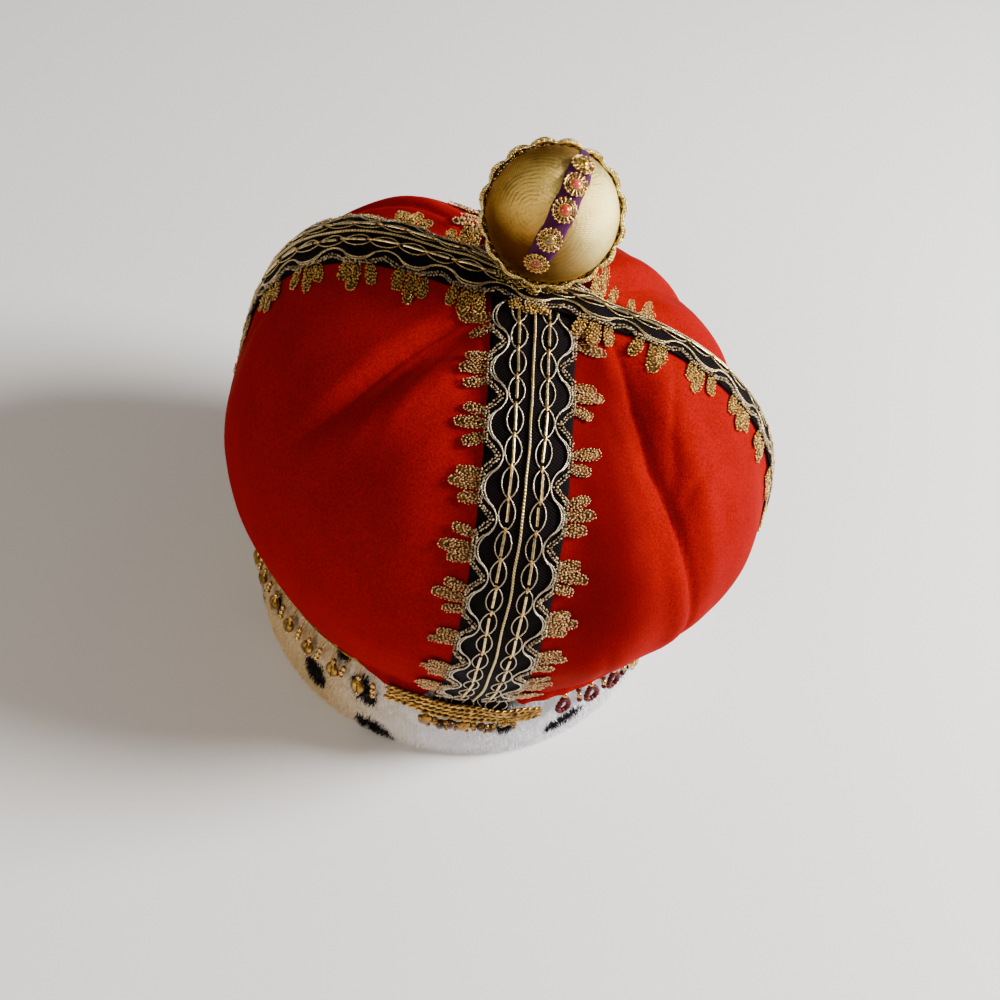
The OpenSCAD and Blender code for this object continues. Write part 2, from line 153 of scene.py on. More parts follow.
class Shape:
    """Points and faces collected in millimetres, made into one object at the end."""

    def __init__(self):
        self.points, self.faces, self.slots, self.maps, self.marks = [], [], [], [], []
        self.count = 0

    def add(self, points, faces=(), slot=0, uv=None, mark=None):
        """Adds points and the faces between them, and gives the number of the first point."""
        points = np.asarray(points, float).reshape(-1, 3)
        first = self.count
        self.points.append(points)
        self.maps.append(np.zeros((len(points), 2)) if uv is None else uv)
        self.marks.append(np.zeros(len(points)) if mark is None else mark)
        self.count += len(points)
        if len(faces):
            self.join(np.asarray(faces) + first, slot)
        return first

    def join(self, faces, slot=0):
        """Adds faces between points that are there already, in one slot or with a slot for each."""
        self.faces.append(faces)
        self.slots.append(np.broadcast_to(slot, len(faces)))

    def fan(self, ring, tip, slot=0, flip=False):
        """Closes a ring of points to its tip."""
        ahead = np.roll(ring, -1)
        self.join(stack(ahead, ring, tip) if flip else stack(ring, ahead, tip), slot)

    def slab(self, top, under, rows, cols, uv=None):
        """Adds a sheet with a thickness: one grid of points over another, closed round its edge."""
        n = rows * cols
        uv = None if uv is None else np.concatenate([uv, uv])
        first = self.add(np.concatenate([top, under]), grid_faces(rows, cols, flip=True), uv=uv)
        self.join(grid_faces(rows, cols) + n + first)
        i, j, last = np.arange(rows - 1) * cols, np.arange(cols - 1), (rows - 1) * cols
        edges = ((i, cols, False), (i + cols - 1, cols, True), (j, 1, True), (last + j, 1, False))
        for p, step, turned in edges:
            quad = stack(p, p + step, p + step + n, p + n) + first
            self.join(quad if turned else quad[:, ::-1])

    def cord(self, path, radius, sides=5, slot=0, closed=False, up=(0.0, 0.0, 1.0)):
        """Adds a round wire along a path, mapped by its length and turn."""
        path = np.asarray(path, float)
        ahead = np.roll(path, -1, 0) - np.roll(path, 1, 0) if closed else np.gradient(path, axis=0)
        ahead = unit(ahead + 1e-9)
        side = unit(np.cross(ahead, np.broadcast_to(up, path.shape)) + 1e-9)[:, None]
        rise = np.cross(side[:, 0], ahead)[:, None]
        turn = ring_of(sides)
        size = np.broadcast_to(radius, len(path))[:, None, None]
        points = path[:, None] + size * (np.cos(turn)[:, None] * side + np.sin(turn)[:, None] * rise)
        uv = stack(run_along(path)[:, None], turn / ROUND).reshape(-1, 2)
        self.add(points, grid_faces(len(path), sides, closed=True, looped=closed), slot, uv)

    def strew(self, form, centres, sizes, turns=None, slot=0):
        """Adds copies of a form at centres, with one size or one for each, turned about +Z."""
        points, faces = form
        centres = np.asarray(centres, float).reshape(-1, 3)
        placed = points * np.broadcast_to(sizes, centres.shape)[:, None]
        if turns is not None:
            c, s = np.cos(turns)[:, None], np.sin(turns)[:, None]
            x, y, z = np.moveaxis(placed, -1, 0)
            placed = stack(x * c - y * s, x * s + y * c, z)
        starts = np.arange(len(centres)) * len(points)
        self.add(placed + centres[:, None], (faces + starts[:, None, None]).reshape(-1, faces.shape[1]), slot)

    def bend(self, onto):
        """Moves every point through the mapping onto."""
        self.points = [onto(np.concatenate(self.points))]

    def build(self, name, materials, mark_name=None):
        """Makes the object, with the marks as an attribute if they have a name."""
        corners = np.concatenate([f.ravel() for f in self.faces])
        sides = np.concatenate([np.full(len(f), f.shape[1]) for f in self.faces])
        mesh = bpy.data.meshes.new(name)
        mesh.vertices.add(self.count)
        mesh.vertices.foreach_set("co", (np.concatenate(self.points) * 0.001).ravel())
        mesh.loops.add(len(corners))
        mesh.loops.foreach_set("vertex_index", corners.astype(np.int32))
        mesh.polygons.add(len(sides))
        mesh.polygons.foreach_set("loop_start", np.concatenate([[0], np.cumsum(sides)[:-1]]).astype(np.int32))
        mesh.polygons.foreach_set("material_index", np.concatenate(self.slots).astype(np.int32))
        mesh.polygons.foreach_set("use_smooth", np.ones(len(sides), bool))
        mesh.update(calc_edges=True)
        mesh.uv_layers.new(name="UVMap").data.foreach_set("uv", np.concatenate(self.maps)[corners].ravel())
        if mark_name:
            marks = np.concatenate(self.marks)
            mesh.attributes.new(mark_name, "FLOAT", "POINT").data.foreach_set("value", marks)
        for material in materials:
            mesh.materials.append(material)
        made = bpy.data.objects.new(name, mesh)
        bpy.context.scene.collection.objects.link(made)
        return made


def dress(shape, name, materials, slot, stands_for=None, mark_name=None):
    """Makes a shape into a piece of the crown, which takes the place of a solid where it stands for one."""
    piece = shape.build(name, materials, mark_name)
    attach(piece, "root")
    if stands_for:
        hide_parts(stands_for)
    return piece


def sphere_points(t, around):
    """Points of a unit sphere at angles t from its pole."""
    t, a = t[:, None], ring_of(around)
    return stack(np.sin(t) * np.cos(a), np.sin(t) * np.sin(a), np.cos(t)).reshape(-1, 3)


def ball_form(rings, around):
    """Unit sphere of quads that pinch at its poles."""
    points = sphere_points(np.linspace(0.001, np.pi - 0.001, rings + 1), around)
    return points, grid_faces(rings + 1, around, closed=True, flip=True)


def grain_form():
    """Unit bead of twenty faces."""
    g = (1 + 5 ** 0.5) / 2
    points = [(-1, g, 0), (1, g, 0), (-1, -g, 0), (1, -g, 0), (0, -1, g), (0, 1, g), (0, -1, -g), (0, 1, -g),
              (g, 0, -1), (g, 0, 1), (-g, 0, -1), (-g, 0, 1)]
    faces = [(0, 11, 5), (0, 5, 1), (0, 1, 7), (0, 7, 10), (0, 10, 11), (1, 5, 9), (5, 11, 4), (11, 10, 2),
             (10, 7, 6), (7, 1, 8), (3, 9, 4), (3, 4, 2), (3, 2, 6), (3, 6, 8), (3, 8, 9), (4, 9, 5),
             (2, 4, 11), (6, 2, 10), (8, 6, 7), (9, 8, 1)]
    return unit(np.array(points, float)), np.array(faces)


GRAIN = grain_form()
BALL = ball_form(8, 12)
SMALL_BALL = ball_form(6, 8)


# The cap's surface and the places on it

class CapSurface:
    """Outer surface of the velvet cap, read off its solid as a radius in each direction."""

    ROWS, COLS, FAR = 25, 72, 300

    def __init__(self):
        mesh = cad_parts["velvet_cap"].data
        tree = BVHTree.FromPolygons([v.co for v in mesh.vertices], [p.vertices for p in mesh.polygons])
        self.row_step = (89.9 - RIM_EL) / (self.ROWS - 1)
        self.col_step = 360 / self.COLS
        radii = np.zeros((self.ROWS, self.COLS))
        for i in range(self.ROWS):
            el = RIM_EL + i * self.row_step + (0.06 if i == 0 else 0.0)
            for j in range(self.COLS):
                d = heading(self.col_step * j + 0.01, el)
                start = self.centre(np.array(el)) + self.FAR * d
                hit = tree.ray_cast(Vector(start * 0.001), Vector(-d))
                if hit[0] is None:
                    raise RuntimeError("the velvet cap's solid has a gap")
                radii[i, j] = self.FAR - hit[3] * 1000
        radii[-1] = radii[-1].mean()
        over = np.roll(radii[::-1][1:4], self.COLS // 2, axis=1)
        under = 2 * radii[:1] - radii[1:2]
        self.table = np.concatenate([under, radii, over])

    @staticmethod
    def centre(el):
        """Where the directions at an elevation start from."""
        return np.array([0, 0, MID_Z]) + LEAN * ease((el - RIM_EL) / -RIM_EL)[..., None]

    @staticmethod
    def weights(u):
        """Shares of four neighbours in a smooth curve through them, u of the way past the second."""
        return [0.5 * (-u + 2 * u**2 - u**3), 0.5 * (2 - 5 * u**2 + 3 * u**3),
                0.5 * (u + 4 * u**2 - 3 * u**3), 0.5 * (-u**2 + u**3)]

    def radius(self, d):
        az, el = angles(d)
        row = np.clip((el - RIM_EL) / self.row_step, 0, self.ROWS - 1 - 1e-6) + 1
        col = (az % 360) / self.col_step
        i, j = np.floor(row).astype(int), np.floor(col).astype(int)
        wi, wj = self.weights(row - i), self.weights(col - j)
        total = 0
        for a in range(4):
            for b in range(4):
                total = total + wi[a] * wj[b] * self.table[i + a - 1, (j + b - 1) % self.COLS]
        return total

    def point(self, d, lift=0.0):
        """Point of the cap in direction d, lifted off it."""
        return self.centre(angles(d)[1]) + (self.radius(d) + lift)[..., None] * d


cap_surface = CapSurface()


def cross_turn(t):
    """Azimuth of the cross strap, t from -1 at its left end to 1 at its right."""
    return CROSS_AZ + CROSS_BEND * ease(0.5 + 1.5 * t)


def off_straps(d):
    """Distance over the cap from direction d to the middle of the nearer strap."""
    cross = math.radians(CROSS_AZ)
    x, y = d[..., 0], d[..., 1]
    a = np.radians(cross_turn(x * math.sin(cross) - y * math.cos(cross)))
    return MEAN_R * np.minimum(np.abs(x), np.abs(x * np.cos(a) + y * np.sin(a)))


class StrapLine:
    """The line of a strap over the cap, measured along it from the seam at the front or right."""

    def __init__(self, cross):
        self.cross = cross
        self.turns = np.linspace(RIM_EL + 1.0, 179.0 - RIM_EL, 500)
        self.run = run_along(cap_surface.point(self.direction(self.turns)[0]))
        self.length = self.run[-1]
        self.middle = np.interp(90.0, self.turns, self.run)
        self.start = 6.0 if cross else 4.0

    def direction(self, turns):
        """Direction of the line, the way across it, and its azimuth in radians."""
        up = np.radians(turns)
        az = np.radians(cross_turn(np.cos(up))) if self.cross else np.zeros_like(up)
        d = stack(np.sin(az) * np.cos(up), -np.cos(az) * np.cos(up), np.sin(up))
        return d, stack(np.cos(az), np.sin(az), 0), az

    def shift(self, side):
        """Where the first leaf cluster stands along an edge."""
        return self.start + (CLUSTER_PITCH * 0.75 - 2.6 if side < 0 else CLUSTER_PITCH * 0.25)

    def bend(self, flat):
        """Points given as (along, across, height) laid on the strap's line."""
        turns = np.interp(flat[:, 0], self.run, self.turns)
        d, side, az = self.direction(turns)
        out = unit(d * cap_surface.radius(d)[:, None] + side * flat[:, 1:2])
        lift = flat[:, 2]
        if self.cross:
            off = np.abs(np.sin(az) * np.cos(np.radians(turns)) * MEAN_R + np.cos(az) * flat[:, 1])
            lift = lift + CLIMB * (1 - ease((off - STRAP_W / 2 - CLIMB_CLEAR) / 12))
        return cap_surface.point(out, lift)


def round_band(flat):
    """Points given as (arc at the fringe, outward, height) wrapped round the band."""
    az, r = flat[:, 0] / FRINGE_R, FRINGE_R + flat[:, 1]
    return stack(r * np.sin(az), -r * np.cos(az), flat[:, 2])


def spin(degrees, axis):
    """Matrix of a turn about an axis."""
    return Matrix.Rotation(math.radians(degrees), 4, axis)


def orb_frame():
    """Matrix from the ball's own frame to the crown's, and the way to the neck in that frame."""
    aside, back = math.radians(8.5), math.radians(26)
    neck = Vector((math.sin(aside) * math.cos(back), math.sin(back), -math.cos(aside) * math.cos(back)))
    turn = spin(-11, "Z") @ spin(-38, "X") @ spin(12, "Y")
    return Matrix.Translation(CROSSING.tolist()) @ turn @ Matrix.Translation(-28.0 * neck), np.array(neck)


ORB_MATRIX, ORB_NECK = orb_frame()


def through(matrix):
    """Mapping of points by a 4x4 matrix."""
    m = np.array(matrix)
    return lambda points: points @ m[:3, :3].T + m[:3, 3]


# Shader node groups and materials

class Nodes:
    """Adds nodes to a tree. Values may be numbers, colours or sockets to link from."""

    def __init__(self, tree):
        self.tree = tree

    def put(self, value, socket):
        if isinstance(value, bpy.types.NodeSocket):
            self.tree.links.new(value, socket)
        else:
            socket.default_value = value

    def node(self, kind, inputs=None, **settings):
        made = self.tree.nodes.new("ShaderNode" + kind)
        for key, value in settings.items():
            setattr(made, key, value)
        for key, value in (inputs or {}).items():
            self.put(value, made.inputs[key])
        return made

    def math(self, operation, *values):
        return self.node("Math", dict(enumerate(values)), operation=operation).outputs[0]

    def sine(self, turns):
        """Sine of an angle in whole turns."""
        return self.math("SINE", self.math("MULTIPLY", turns, 2 * math.pi))

    def parts(self, vector):
        return tuple(self.node("SeparateXYZ", {"Vector": vector}).outputs)

    def at(self):
        return self.node("TexCoord").outputs["Object"]

    def uv(self):
        return self.node("UVMap", uv_map="UVMap").outputs["UV"]

    def mapped(self, vector, **changes):
        return self.node("Mapping", {"Vector": vector, **changes}).outputs[0]

    def spread(self, value, span=(0.0, 1.0), to=(0.0, 1.0)):
        """A value's span stretched to another, and held within it."""
        ends = {"From Min": span[0], "From Max": span[1], "To Min": to[0], "To Max": to[1]}
        return self.node("MapRange", {"Value": value, **ends}).outputs[0]

    def blend(self, factor, a, b):
        made = self.node("Mix", {"Factor": factor}, data_type="RGBA")
        for socket, value in ((made.inputs[6], a), (made.inputs[7], b)):
            self.put(value if isinstance(value, bpy.types.NodeSocket) else (*value, 1), socket)
        return made.outputs[2]


class Group(Nodes):
    """An empty shader group with named inputs and their defaults, and named outputs."""

    def __init__(self, name, inputs, outputs):
        super().__init__(bpy.data.node_groups.new(name, "ShaderNodeTree"))
        new_socket = self.tree.interface.new_socket
        for label, value in inputs.items():
            kind = "NodeSocketVector" if isinstance(value, tuple) else "NodeSocketFloat"
            new_socket(label, in_out="INPUT", socket_type=kind).default_value = value
        for label in outputs:
            new_socket(label, in_out="OUTPUT", socket_type="NodeSocketFloat")
        self.given = self.tree.nodes.new("NodeGroupInput").outputs
        self.result = self.tree.nodes.new("NodeGroupOutput").inputs


def mottle_group():
    """Two sizes of soft noise on the object's own coordinates."""
    g = Group("cloth_mottle", {"Coarse": 60.0, "Fine": 1500.0}, ("Coarse Value", "Fine Value"))
    at = g.at()
    for size, detail, rough in (("Coarse", 3.0, 0.6), ("Fine", 2.0, 0.7)):
        soft = g.node("TexNoise", {"Vector": at, "Scale": g.given[size],
                                   "Detail": detail, "Roughness": rough})
        g.put(soft.outputs["Fac"], g.result[size + " Value"])


def weave_group():
    """Crossed threads over a map, as a height and a mask of the raised thread."""
    g = Group("crossed_weave", {"Vector": (0, 0, 0), "Threads": 2.0}, ("Height", "Mask"))
    x, y, _ = g.parts(g.given["Vector"])
    a, b = (g.sine(g.math("MULTIPLY", part, g.given["Threads"])) for part in (x, y))
    height = g.math("MULTIPLY_ADD", g.math("MULTIPLY", a, b), 0.5, 0.5)
    g.put(height, g.result["Height"])
    g.put(g.spread(height, (0.35, 0.75)), g.result["Mask"])


def twist_group():
    """Slanting strands along a wire's map, as a height."""
    g = Group("twisted_strands", {"Turns": 1.0, "Strands": 2.0}, ("Height",))
    along, around, _ = g.parts(g.uv())
    along = g.math("MULTIPLY", along, g.given["Turns"])
    around = g.math("MULTIPLY", around, g.given["Strands"])
    g.put(g.math("MULTIPLY_ADD", g.sine(g.math("ADD", along, around)), 0.5, 0.5), g.result["Height"])


class Finish(Nodes):
    """A material with a Principled shader whose own sockets hold the constants."""

    def __init__(self, name, **constants):
        self.material = bpy.data.materials.new(name)
        self.material.use_nodes = True
        super().__init__(self.material.node_tree)
        self.shader = self.tree.nodes["Principled BSDF"].inputs
        for key, value in constants.items():
            self.shader[key.replace("_", " ")].default_value = value

    def use(self, group, **inputs):
        """Places a group, and gives its outputs."""
        made = self.tree.nodes.new("ShaderNodeGroup")
        made.node_tree = bpy.data.node_groups[group]
        for key, value in inputs.items():
            self.put(value, made.inputs[key])
        return made.outputs

    def mottle(self, coarse, fine):
        return tuple(self.use("cloth_mottle", Coarse=coarse, Fine=fine))

    def mark(self, name):
        return self.node("Attribute", attribute_name=name).outputs["Fac"]

    def done(self, colour, rough=None, relief=None):
        """The material with its colour, and roughness and relief (height, strength, distance) if given."""
        self.put(colour, self.shader["Base Color"])
        if rough is not None:
            self.put(rough, self.shader["Roughness"])
        if relief is not None:
            made = self.node("Bump", dict(zip(("Height", "Strength", "Distance"), relief)))
            self.put(made.outputs["Normal"], self.shader["Normal"])
        return self.material


def shade(colour, by):
    """A colour made darker or lighter."""
    return tuple(c * by for c in colour)


def mottled(name, dark, light, coarse, fine, relief=None, **constants):
    """A finish that varies finely between two colours, with a relief (strength, distance) if given."""
    m = Finish(name, **constants)
    _, fine = m.mottle(coarse, fine)
    return m.done(m.blend(fine, dark, light), relief=relief and (fine, *relief))


def velvet(colour):
    """Pile velvet: matt, with a soft sheen and a fine nap, and darker by its mark: painted shade beside the
    front strap and faint patches of darker nap.
    """
    m = Finish("velvet", Roughness=0.8, Sheen_Weight=0.14, Sheen_Roughness=0.35,
               Sheen_Tint=(1.0, 0.02, 0.01, 1), Specular_IOR_Level=0.02)
    coarse, fine = m.mottle(55.0, 1150.0)
    nap = m.math("MULTIPLY_ADD", fine, 0.9, m.spread(coarse, to=(0.36, 0.64)))
    pile = m.blend(m.spread(nap, (0.7, 1.2)), shade(colour, 0.62), shade(colour, 1.4))
    # The mark takes the colour down to three tenths: painted shade beside the front strap, and darker nap in
    # faint patches.
    return m.done(m.blend(m.mark("painted_shade_and_nap"), pile, shade(colour, 0.3)), relief=(fine, 0.35, 0.0004))


def lining_cloth():
    """Plain dark cloth of the inside."""
    return mottled("lining_cloth", (0.10, 0.004, 0.004), (0.17, 0.010, 0.008), 80.0, 2200.0, (0.2, 0.0002),
                   Roughness=0.6, Sheen_Weight=0.2)


def fur_skin():
    """Knitted backing under the pile."""
    m = Finish("fur_backing", Roughness=0.9)
    _, fine = m.mottle(90.0, 900.0)
    white = m.blend(fine, (0.80, 0.77, 0.73), (0.92, 0.90, 0.87))
    return m.done(m.blend(m.mark("spot"), white, (0.015, 0.013, 0.015)), relief=(fine, 0.5, 0.0006))


def fur_hair(colour):
    """White hairs of the pile, with painted warm light that makes them creamier at the left and less so
    towards the back.
    """
    m = Finish("fur_pile", Roughness=0.75, Sheen_Weight=0.5, Sheen_Roughness=0.5,
               Sheen_Tint=(0.90, 0.90, 1.0, 1), Specular_IOR_Level=0.25)
    _, fine = m.mottle(140.0, 1400.0)
    x, y, _ = m.parts(m.at())
    # Painted warm light: a creamy tone at the left front, fading towards the back.
    painted_warm_light = m.math("MULTIPLY", m.spread(x, (-0.012, -0.062)), m.spread(y, (0.05, -0.01), (0.3, 1.0)))
    tone = m.blend(painted_warm_light, colour, (0.72, 0.53, 0.26))
    return m.done(m.blend(fine, m.blend(0.12, tone, (0, 0, 0)), tone))


def black_hair():
    """Matt black hairs of the spots."""
    return mottled("black_pile", (0.004, 0.0034, 0.004), (0.010, 0.009, 0.010), 140.0, 1400.0,
                   Roughness=0.85, Specular_IOR_Level=0.08)


def ribbon_cloth():
    """Black ribbon with fine ribs along it."""
    m = Finish("ribbon_cloth", Roughness=0.7, Specular_IOR_Level=0.04)
    ribs = m.use("crossed_weave", Vector=m.mapped(m.uv(), Scale=(0.8, 0.55, 1.0)), Threads=1.0)
    coarse, _ = m.mottle(110.0, 2400.0)
    ground = m.blend(m.spread(coarse, (0.45, 0.7)), (0.0010, 0.0007, 0.0008), (0.0060, 0.0012, 0.0045))
    # The raised ribs are a little lighter: a painted glint on them.
    colour = m.blend(ribs["Mask"], ground, (0.0060, 0.0042, 0.0042))
    return m.done(colour, relief=(ribs["Height"], 0.6, 0.0005))


def twisted_metal(name, dark, light, roughness, turns, depth=0.0002):
    """Wire or cord of twisted metallic thread."""
    m = Finish(name, Metallic=1.0)
    twist = m.use("twisted_strands", Turns=turns)["Height"]
    coarse, fine = m.mottle(400.0, 2500.0)
    # The colour follows the twist: painted shade in the grooves between the strands and lighter on the
    # strands, with a random mottle over it.
    clear = m.spread(m.math("MULTIPLY", twist, coarse), (0.1, 0.5))
    rough = m.spread(fine, to=(roughness - 0.1, roughness + 0.12))
    return m.done(m.blend(clear, dark, light), rough, (twist, 0.8, depth))


def glinting_metal(name, dark, light, roughness, scale):
    """Beads and stitches of metal or metallic thread, each catching the light on its own."""
    m = Finish(name, Metallic=0.95)
    coarse, fine = m.mottle(scale, 4 * scale)
    rough = m.spread(fine, to=(roughness - 0.08, roughness + 0.15))
    return m.done(m.blend(m.spread(coarse, (0.35, 0.65)), dark, light), rough, (fine, 0.3, 0.0001))


def lame_cloth():
    """Gold metallic cloth in curved rows, with a painted highlight at the upper front left, paler painted
    light towards the right, and painted shade that makes it browner towards the neck.
    """
    m = Finish("lame_cloth", Metallic=0.88, Specular_Tint=(1.0, 0.72, 0.36, 1))
    at = m.at()
    x, _, z = m.parts(at)
    centre = Vector(ORB_MATRIX.translation)
    rows_from = centre + 24.5 * Vector((-0.41, -0.74, 0.56)).normalized()
    # Middle of a painted highlight on the ball.
    painted_highlight_at = centre + 24.5 * Vector((-0.42, -0.45, 0.79))
    turned = m.mapped(at, Rotation=(0.3, 0.65, 0.2), Scale=(1000.0, 1000.0, 1000.0))
    ribs = m.use("crossed_weave", Vector=m.mapped(turned, Rotation=(1.57, 0, 0)), Threads=1.15)["Height"]
    streak = m.node("TexNoise", {"Vector": m.mapped(turned, Scale=(0.22, 1.6, 1.6)), "Scale": 1.0,
                                 "Detail": 5.0, "Roughness": 0.8}).outputs["Fac"]
    rows = m.node("TexWave", {"Vector": m.mapped(at, Location=-0.001 * rows_from), "Scale": 185.0,
                              "Distortion": 7.0, "Detail": 2.0, "Detail Scale": 0.35},
                  wave_type="RINGS", rings_direction="SPHERICAL").outputs["Fac"]
    from_painted_highlight = m.mapped(at, Location=-0.001 * painted_highlight_at)
    far = m.node("VectorMath", {0: from_painted_highlight}, operation="LENGTH").outputs["Value"]
    near = m.spread(far, (0.005, 0.022), (1.0, 0.12))
    coarse, fine = m.mottle(75.0, 1500.0)
    # The right side is painted paler as if lit, and the lower part is painted in shade towards the neck.
    painted_lit_right = m.spread(x, (-0.004, 0.022))
    raised = m.spread(z, (0.214, 0.242), (0.22, 1.0))
    plain = m.math("MAXIMUM", painted_lit_right, m.spread(coarse, (0.42, 0.56)))
    weave = m.node("Mix", {0: plain, 2: rows, 3: ribs}).outputs[0]
    tone = m.math("MULTIPLY_ADD", weave, 0.3, streak)
    lit = m.math("MULTIPLY", m.math("MULTIPLY", tone, coarse), raised)
    clear = m.spread(m.math("MULTIPLY", lit, m.math("MAXIMUM", near, painted_lit_right)), (0.05, 0.30))
    # Painted shade colours for the left with the painted highlight in them, and painted lit colours for the
    # right.
    deep = m.blend(clear, (0.11, 0.032, 0.002), m.blend(near, (0.54, 0.225, 0.012), (1.0, 0.69, 0.17)))
    pale = m.blend(clear, (0.50, 0.32, 0.07), (0.99, 0.88, 0.36))
    return m.done(m.blend(painted_lit_right, deep, pale), m.spread(fine, to=(0.26, 0.46)), (tone, 0.7, 0.0005))


def purple_ribbon():
    """Dark purple ribbon of the ball."""
    return mottled("purple_ribbon", (0.030, 0.003, 0.026), (0.088, 0.011, 0.076), 150.0, 1800.0,
                   (0.3, 0.0003), Roughness=0.7, Sheen_Weight=0.04, Specular_IOR_Level=0.1)


def polished_stone(name, colour, coat=0.8, gloss=0.5):
    """Stone or glass bead with a polish over a faintly clouded colour."""
    m = Finish(name, Roughness=0.18, Coat_Weight=coat, Coat_Roughness=0.05, Specular_IOR_Level=gloss)
    coarse, fine = m.mottle(420.0, 1600.0)
    return m.done(m.blend(coarse, shade(colour, 0.6), shade(colour, 1.25)), relief=(fine, 0.08, 0.0001))


def floor_paper():
    """Pale matt paper of the floor."""
    m = Finish("floor_paper", Roughness=0.9, Specular_IOR_Level=0.1)
    coarse, _ = m.mottle(3.0, 300.0)
    return m.done(m.blend(coarse, (0.80, 0.80, 0.80), (0.84, 0.84, 0.84)))


# Settings

class CrownSettings(bpy.types.PropertyGroup):
    velvet_colour: FloatVectorProperty(name="Velvet", description="Colour of the cap's velvet",
                                       subtype="COLOR", default=(0.23, 0.0006, 0.0004), min=0, max=1)
    fur_colour: FloatVectorProperty(name="Fur", description="Colour of the fur band", subtype="COLOR",
                                    default=(0.94, 0.93, 0.985), min=0, max=1)
    pile_length: FloatProperty(name="Pile length", description="Length of the fur's hairs", unit="LENGTH",
                               default=0.0036, min=0.002, max=0.008)
    pile_hairs: IntProperty(name="Pile hairs", description="Number of hairs in the fur band",
                            default=60000, min=1000, max=64000)
    crease_depth: FloatProperty(name="Crease depth", description="Depth of the sharp folds in the velvet",
                                unit="LENGTH", default=0.0024, min=0.0, max=0.005)
    scallops: IntProperty(name="Scallops", description="Number of bead scallops round the ball",
                          default=16, min=8, max=24)


# The creases of the velvet: a line of (azimuth, elevation), its share of the depth, the side of its ridge.
CREASES = [
    ([(-46, 74), (-52, 68), (-54, 62), (-55, 51), (-55, 39), (-56, 33), (-58, 25)], 1.0, 1),
    ([(52, 69), (44, 60), (39, 53), (37, 45), (36, 40), (37, 34), (38, 28), (39, 18), (42, 4), (43, -6)],
     1.0, 1),
    ([(37, 33), (38, 26), (40, 15), (42, 3), (43, -9)], 0.6, 1),
    ([(58, 54), (49, 50), (44, 46), (41, 40), (38, 34)], 0.55, 1),
    ([(57, 35), (49, 37), (44, 36), (39, 31)], 0.5, -1),
    ([(-150, 68), (-143, 50), (-130, 26)], 0.8, 1),
    ([(118, 66), (124, 42), (128, 18)], 0.8, -1),
    ([(150, 60), (156, 40), (160, 20)], 0.5, 1),
    ([(-95, 40), (-88, 22), (-84, 4)], 0.35, 1),
    ([(-20, 8), (-24, -4), (-26, -16)], 0.3, -1),
    ([(22, 4), (25, -8), (26, -18)], 0.3, 1),
    ([(88, 30), (93, 12), (97, -4)], 0.35, -1),
]
# How many gathers the seam draws the velvet into, and how far the hem hangs where it hangs most.
GATHERS = 62
HEM_DROP = 4.6
# The hem's rows from the inside out: distance from the head, swell, share of folds, share of the drop.
HEM_ROWS = ((6.4, 0.0, 0, 0.8), (6.2, 1.5, 1, 1.0), (6.1, 2.6, 1, 0.75), (6.05, 3.2, 0, 0.35))


def crease_relief(d, depth):
    """Sharp valleys with a soft ridge beside them, at directions d."""
    relief = np.zeros(len(d))
    for line, share, side in CREASES:
        line = np.array(line, float)
        t = np.linspace(0, len(line) - 1, 90)
        dense = heading(*(np.interp(t, np.arange(len(line)), line[:, k]) for k in (0, 1)))
        fade = np.sin(np.pi * np.clip(t / (len(line) - 1), 0.02, 0.98)) ** 0.45
        near = d @ dense.T
        k = near.argmax(axis=1)
        right = np.cross(unit(np.gradient(dense, axis=0))[k], dense[k])
        off = MEAN_R * np.einsum("ij,ij->i", d, right) * side
        far = MEAN_R * np.arccos(np.clip(near.max(axis=1), -1, 1))
        off = np.where(np.abs(off) < far, np.sign(off) * far, off)
        valley = -0.62 * bell(off, 1.5) - 0.28 * bell(off - 18, 8)
        ridge = 0.62 * bell(off - 6, 4.6) + 0.22 * bell(off + 7, 6)
        relief += depth * share * fade[k] * (valley + ridge)
    return relief


def velvet_relief(d, depth):
    """Everything that the cloth adds to the cap's plain form."""
    az, el = angles(d)
    past_strap = off_straps(d) - STRAP_W / 2
    away = ease((past_strap + 1) / 8)
    points = d * MEAN_R
    dents = 0.8 * roughly(points, 30, 3.1) + 0.08 * roughly(points, 11, 7.7)
    low = np.clip((el - RIM_EL) / 14, 0, 1)
    gathers = 0.55 * np.sin(np.radians(az) * GATHERS + 2.6 * roughly(points, 18, 1.3)) * (1 - low) ** 1.5
    pucker = 0.28 * np.sin(np.radians(el) * 44 + 3 * roughly(points, 16, 5.9)) * bell(past_strap - 5, 6)
    return (crease_relief(d, depth) + dents) * away + gathers + pucker * away


def paint_strap_shade_and_nap(az, el):
    """How much painted shade the velvet takes: between the front strap and the long fold, with faint random
    patches of darker nap elsewhere.
    """
    high = np.maximum(el - 42, 0)
    points = heading(az, el) * MEAN_R
    edge = 1.6 * roughly(points, 12, 4.4)
    wedge = np.exp(-((from_front(az) - 19.5 - 0.32 * high + edge) / (10.5 + 0.22 * high)) ** 4)
    return 0.74 * wedge * ease((el + 13) / 34) + 0.12 * np.clip(roughly(points, 22, 8.8), 0, 1) * (1 - wedge)


def hem_hang(az):
    """How far the velvet hangs over the seam at each azimuth, from 0 to 1: not under the straps."""
    az = from_front(az)
    free = 1.0
    for strap_az in (0.0, CROSS_AZ + CROSS_BEND):
        free = free * (1 - ease((13 - np.abs(az - strap_az)) / 3))
    return ease((az + 34) / 14) * ease((128 - az) / 30) * free


def cloth_side(els, cols, depth, lift):
    """One side of the cap's cloth, as a grid of points from the seam up."""
    el, az = grid(els, np.linspace(0, 360, cols, endpoint=False))
    d = heading(az, el)
    points = cap_surface.point(d, velvet_relief(d, depth) * ease((90 - el) / 8) + lift)
    points[:cols, 2] = SEAM_Z
    return az, el, points


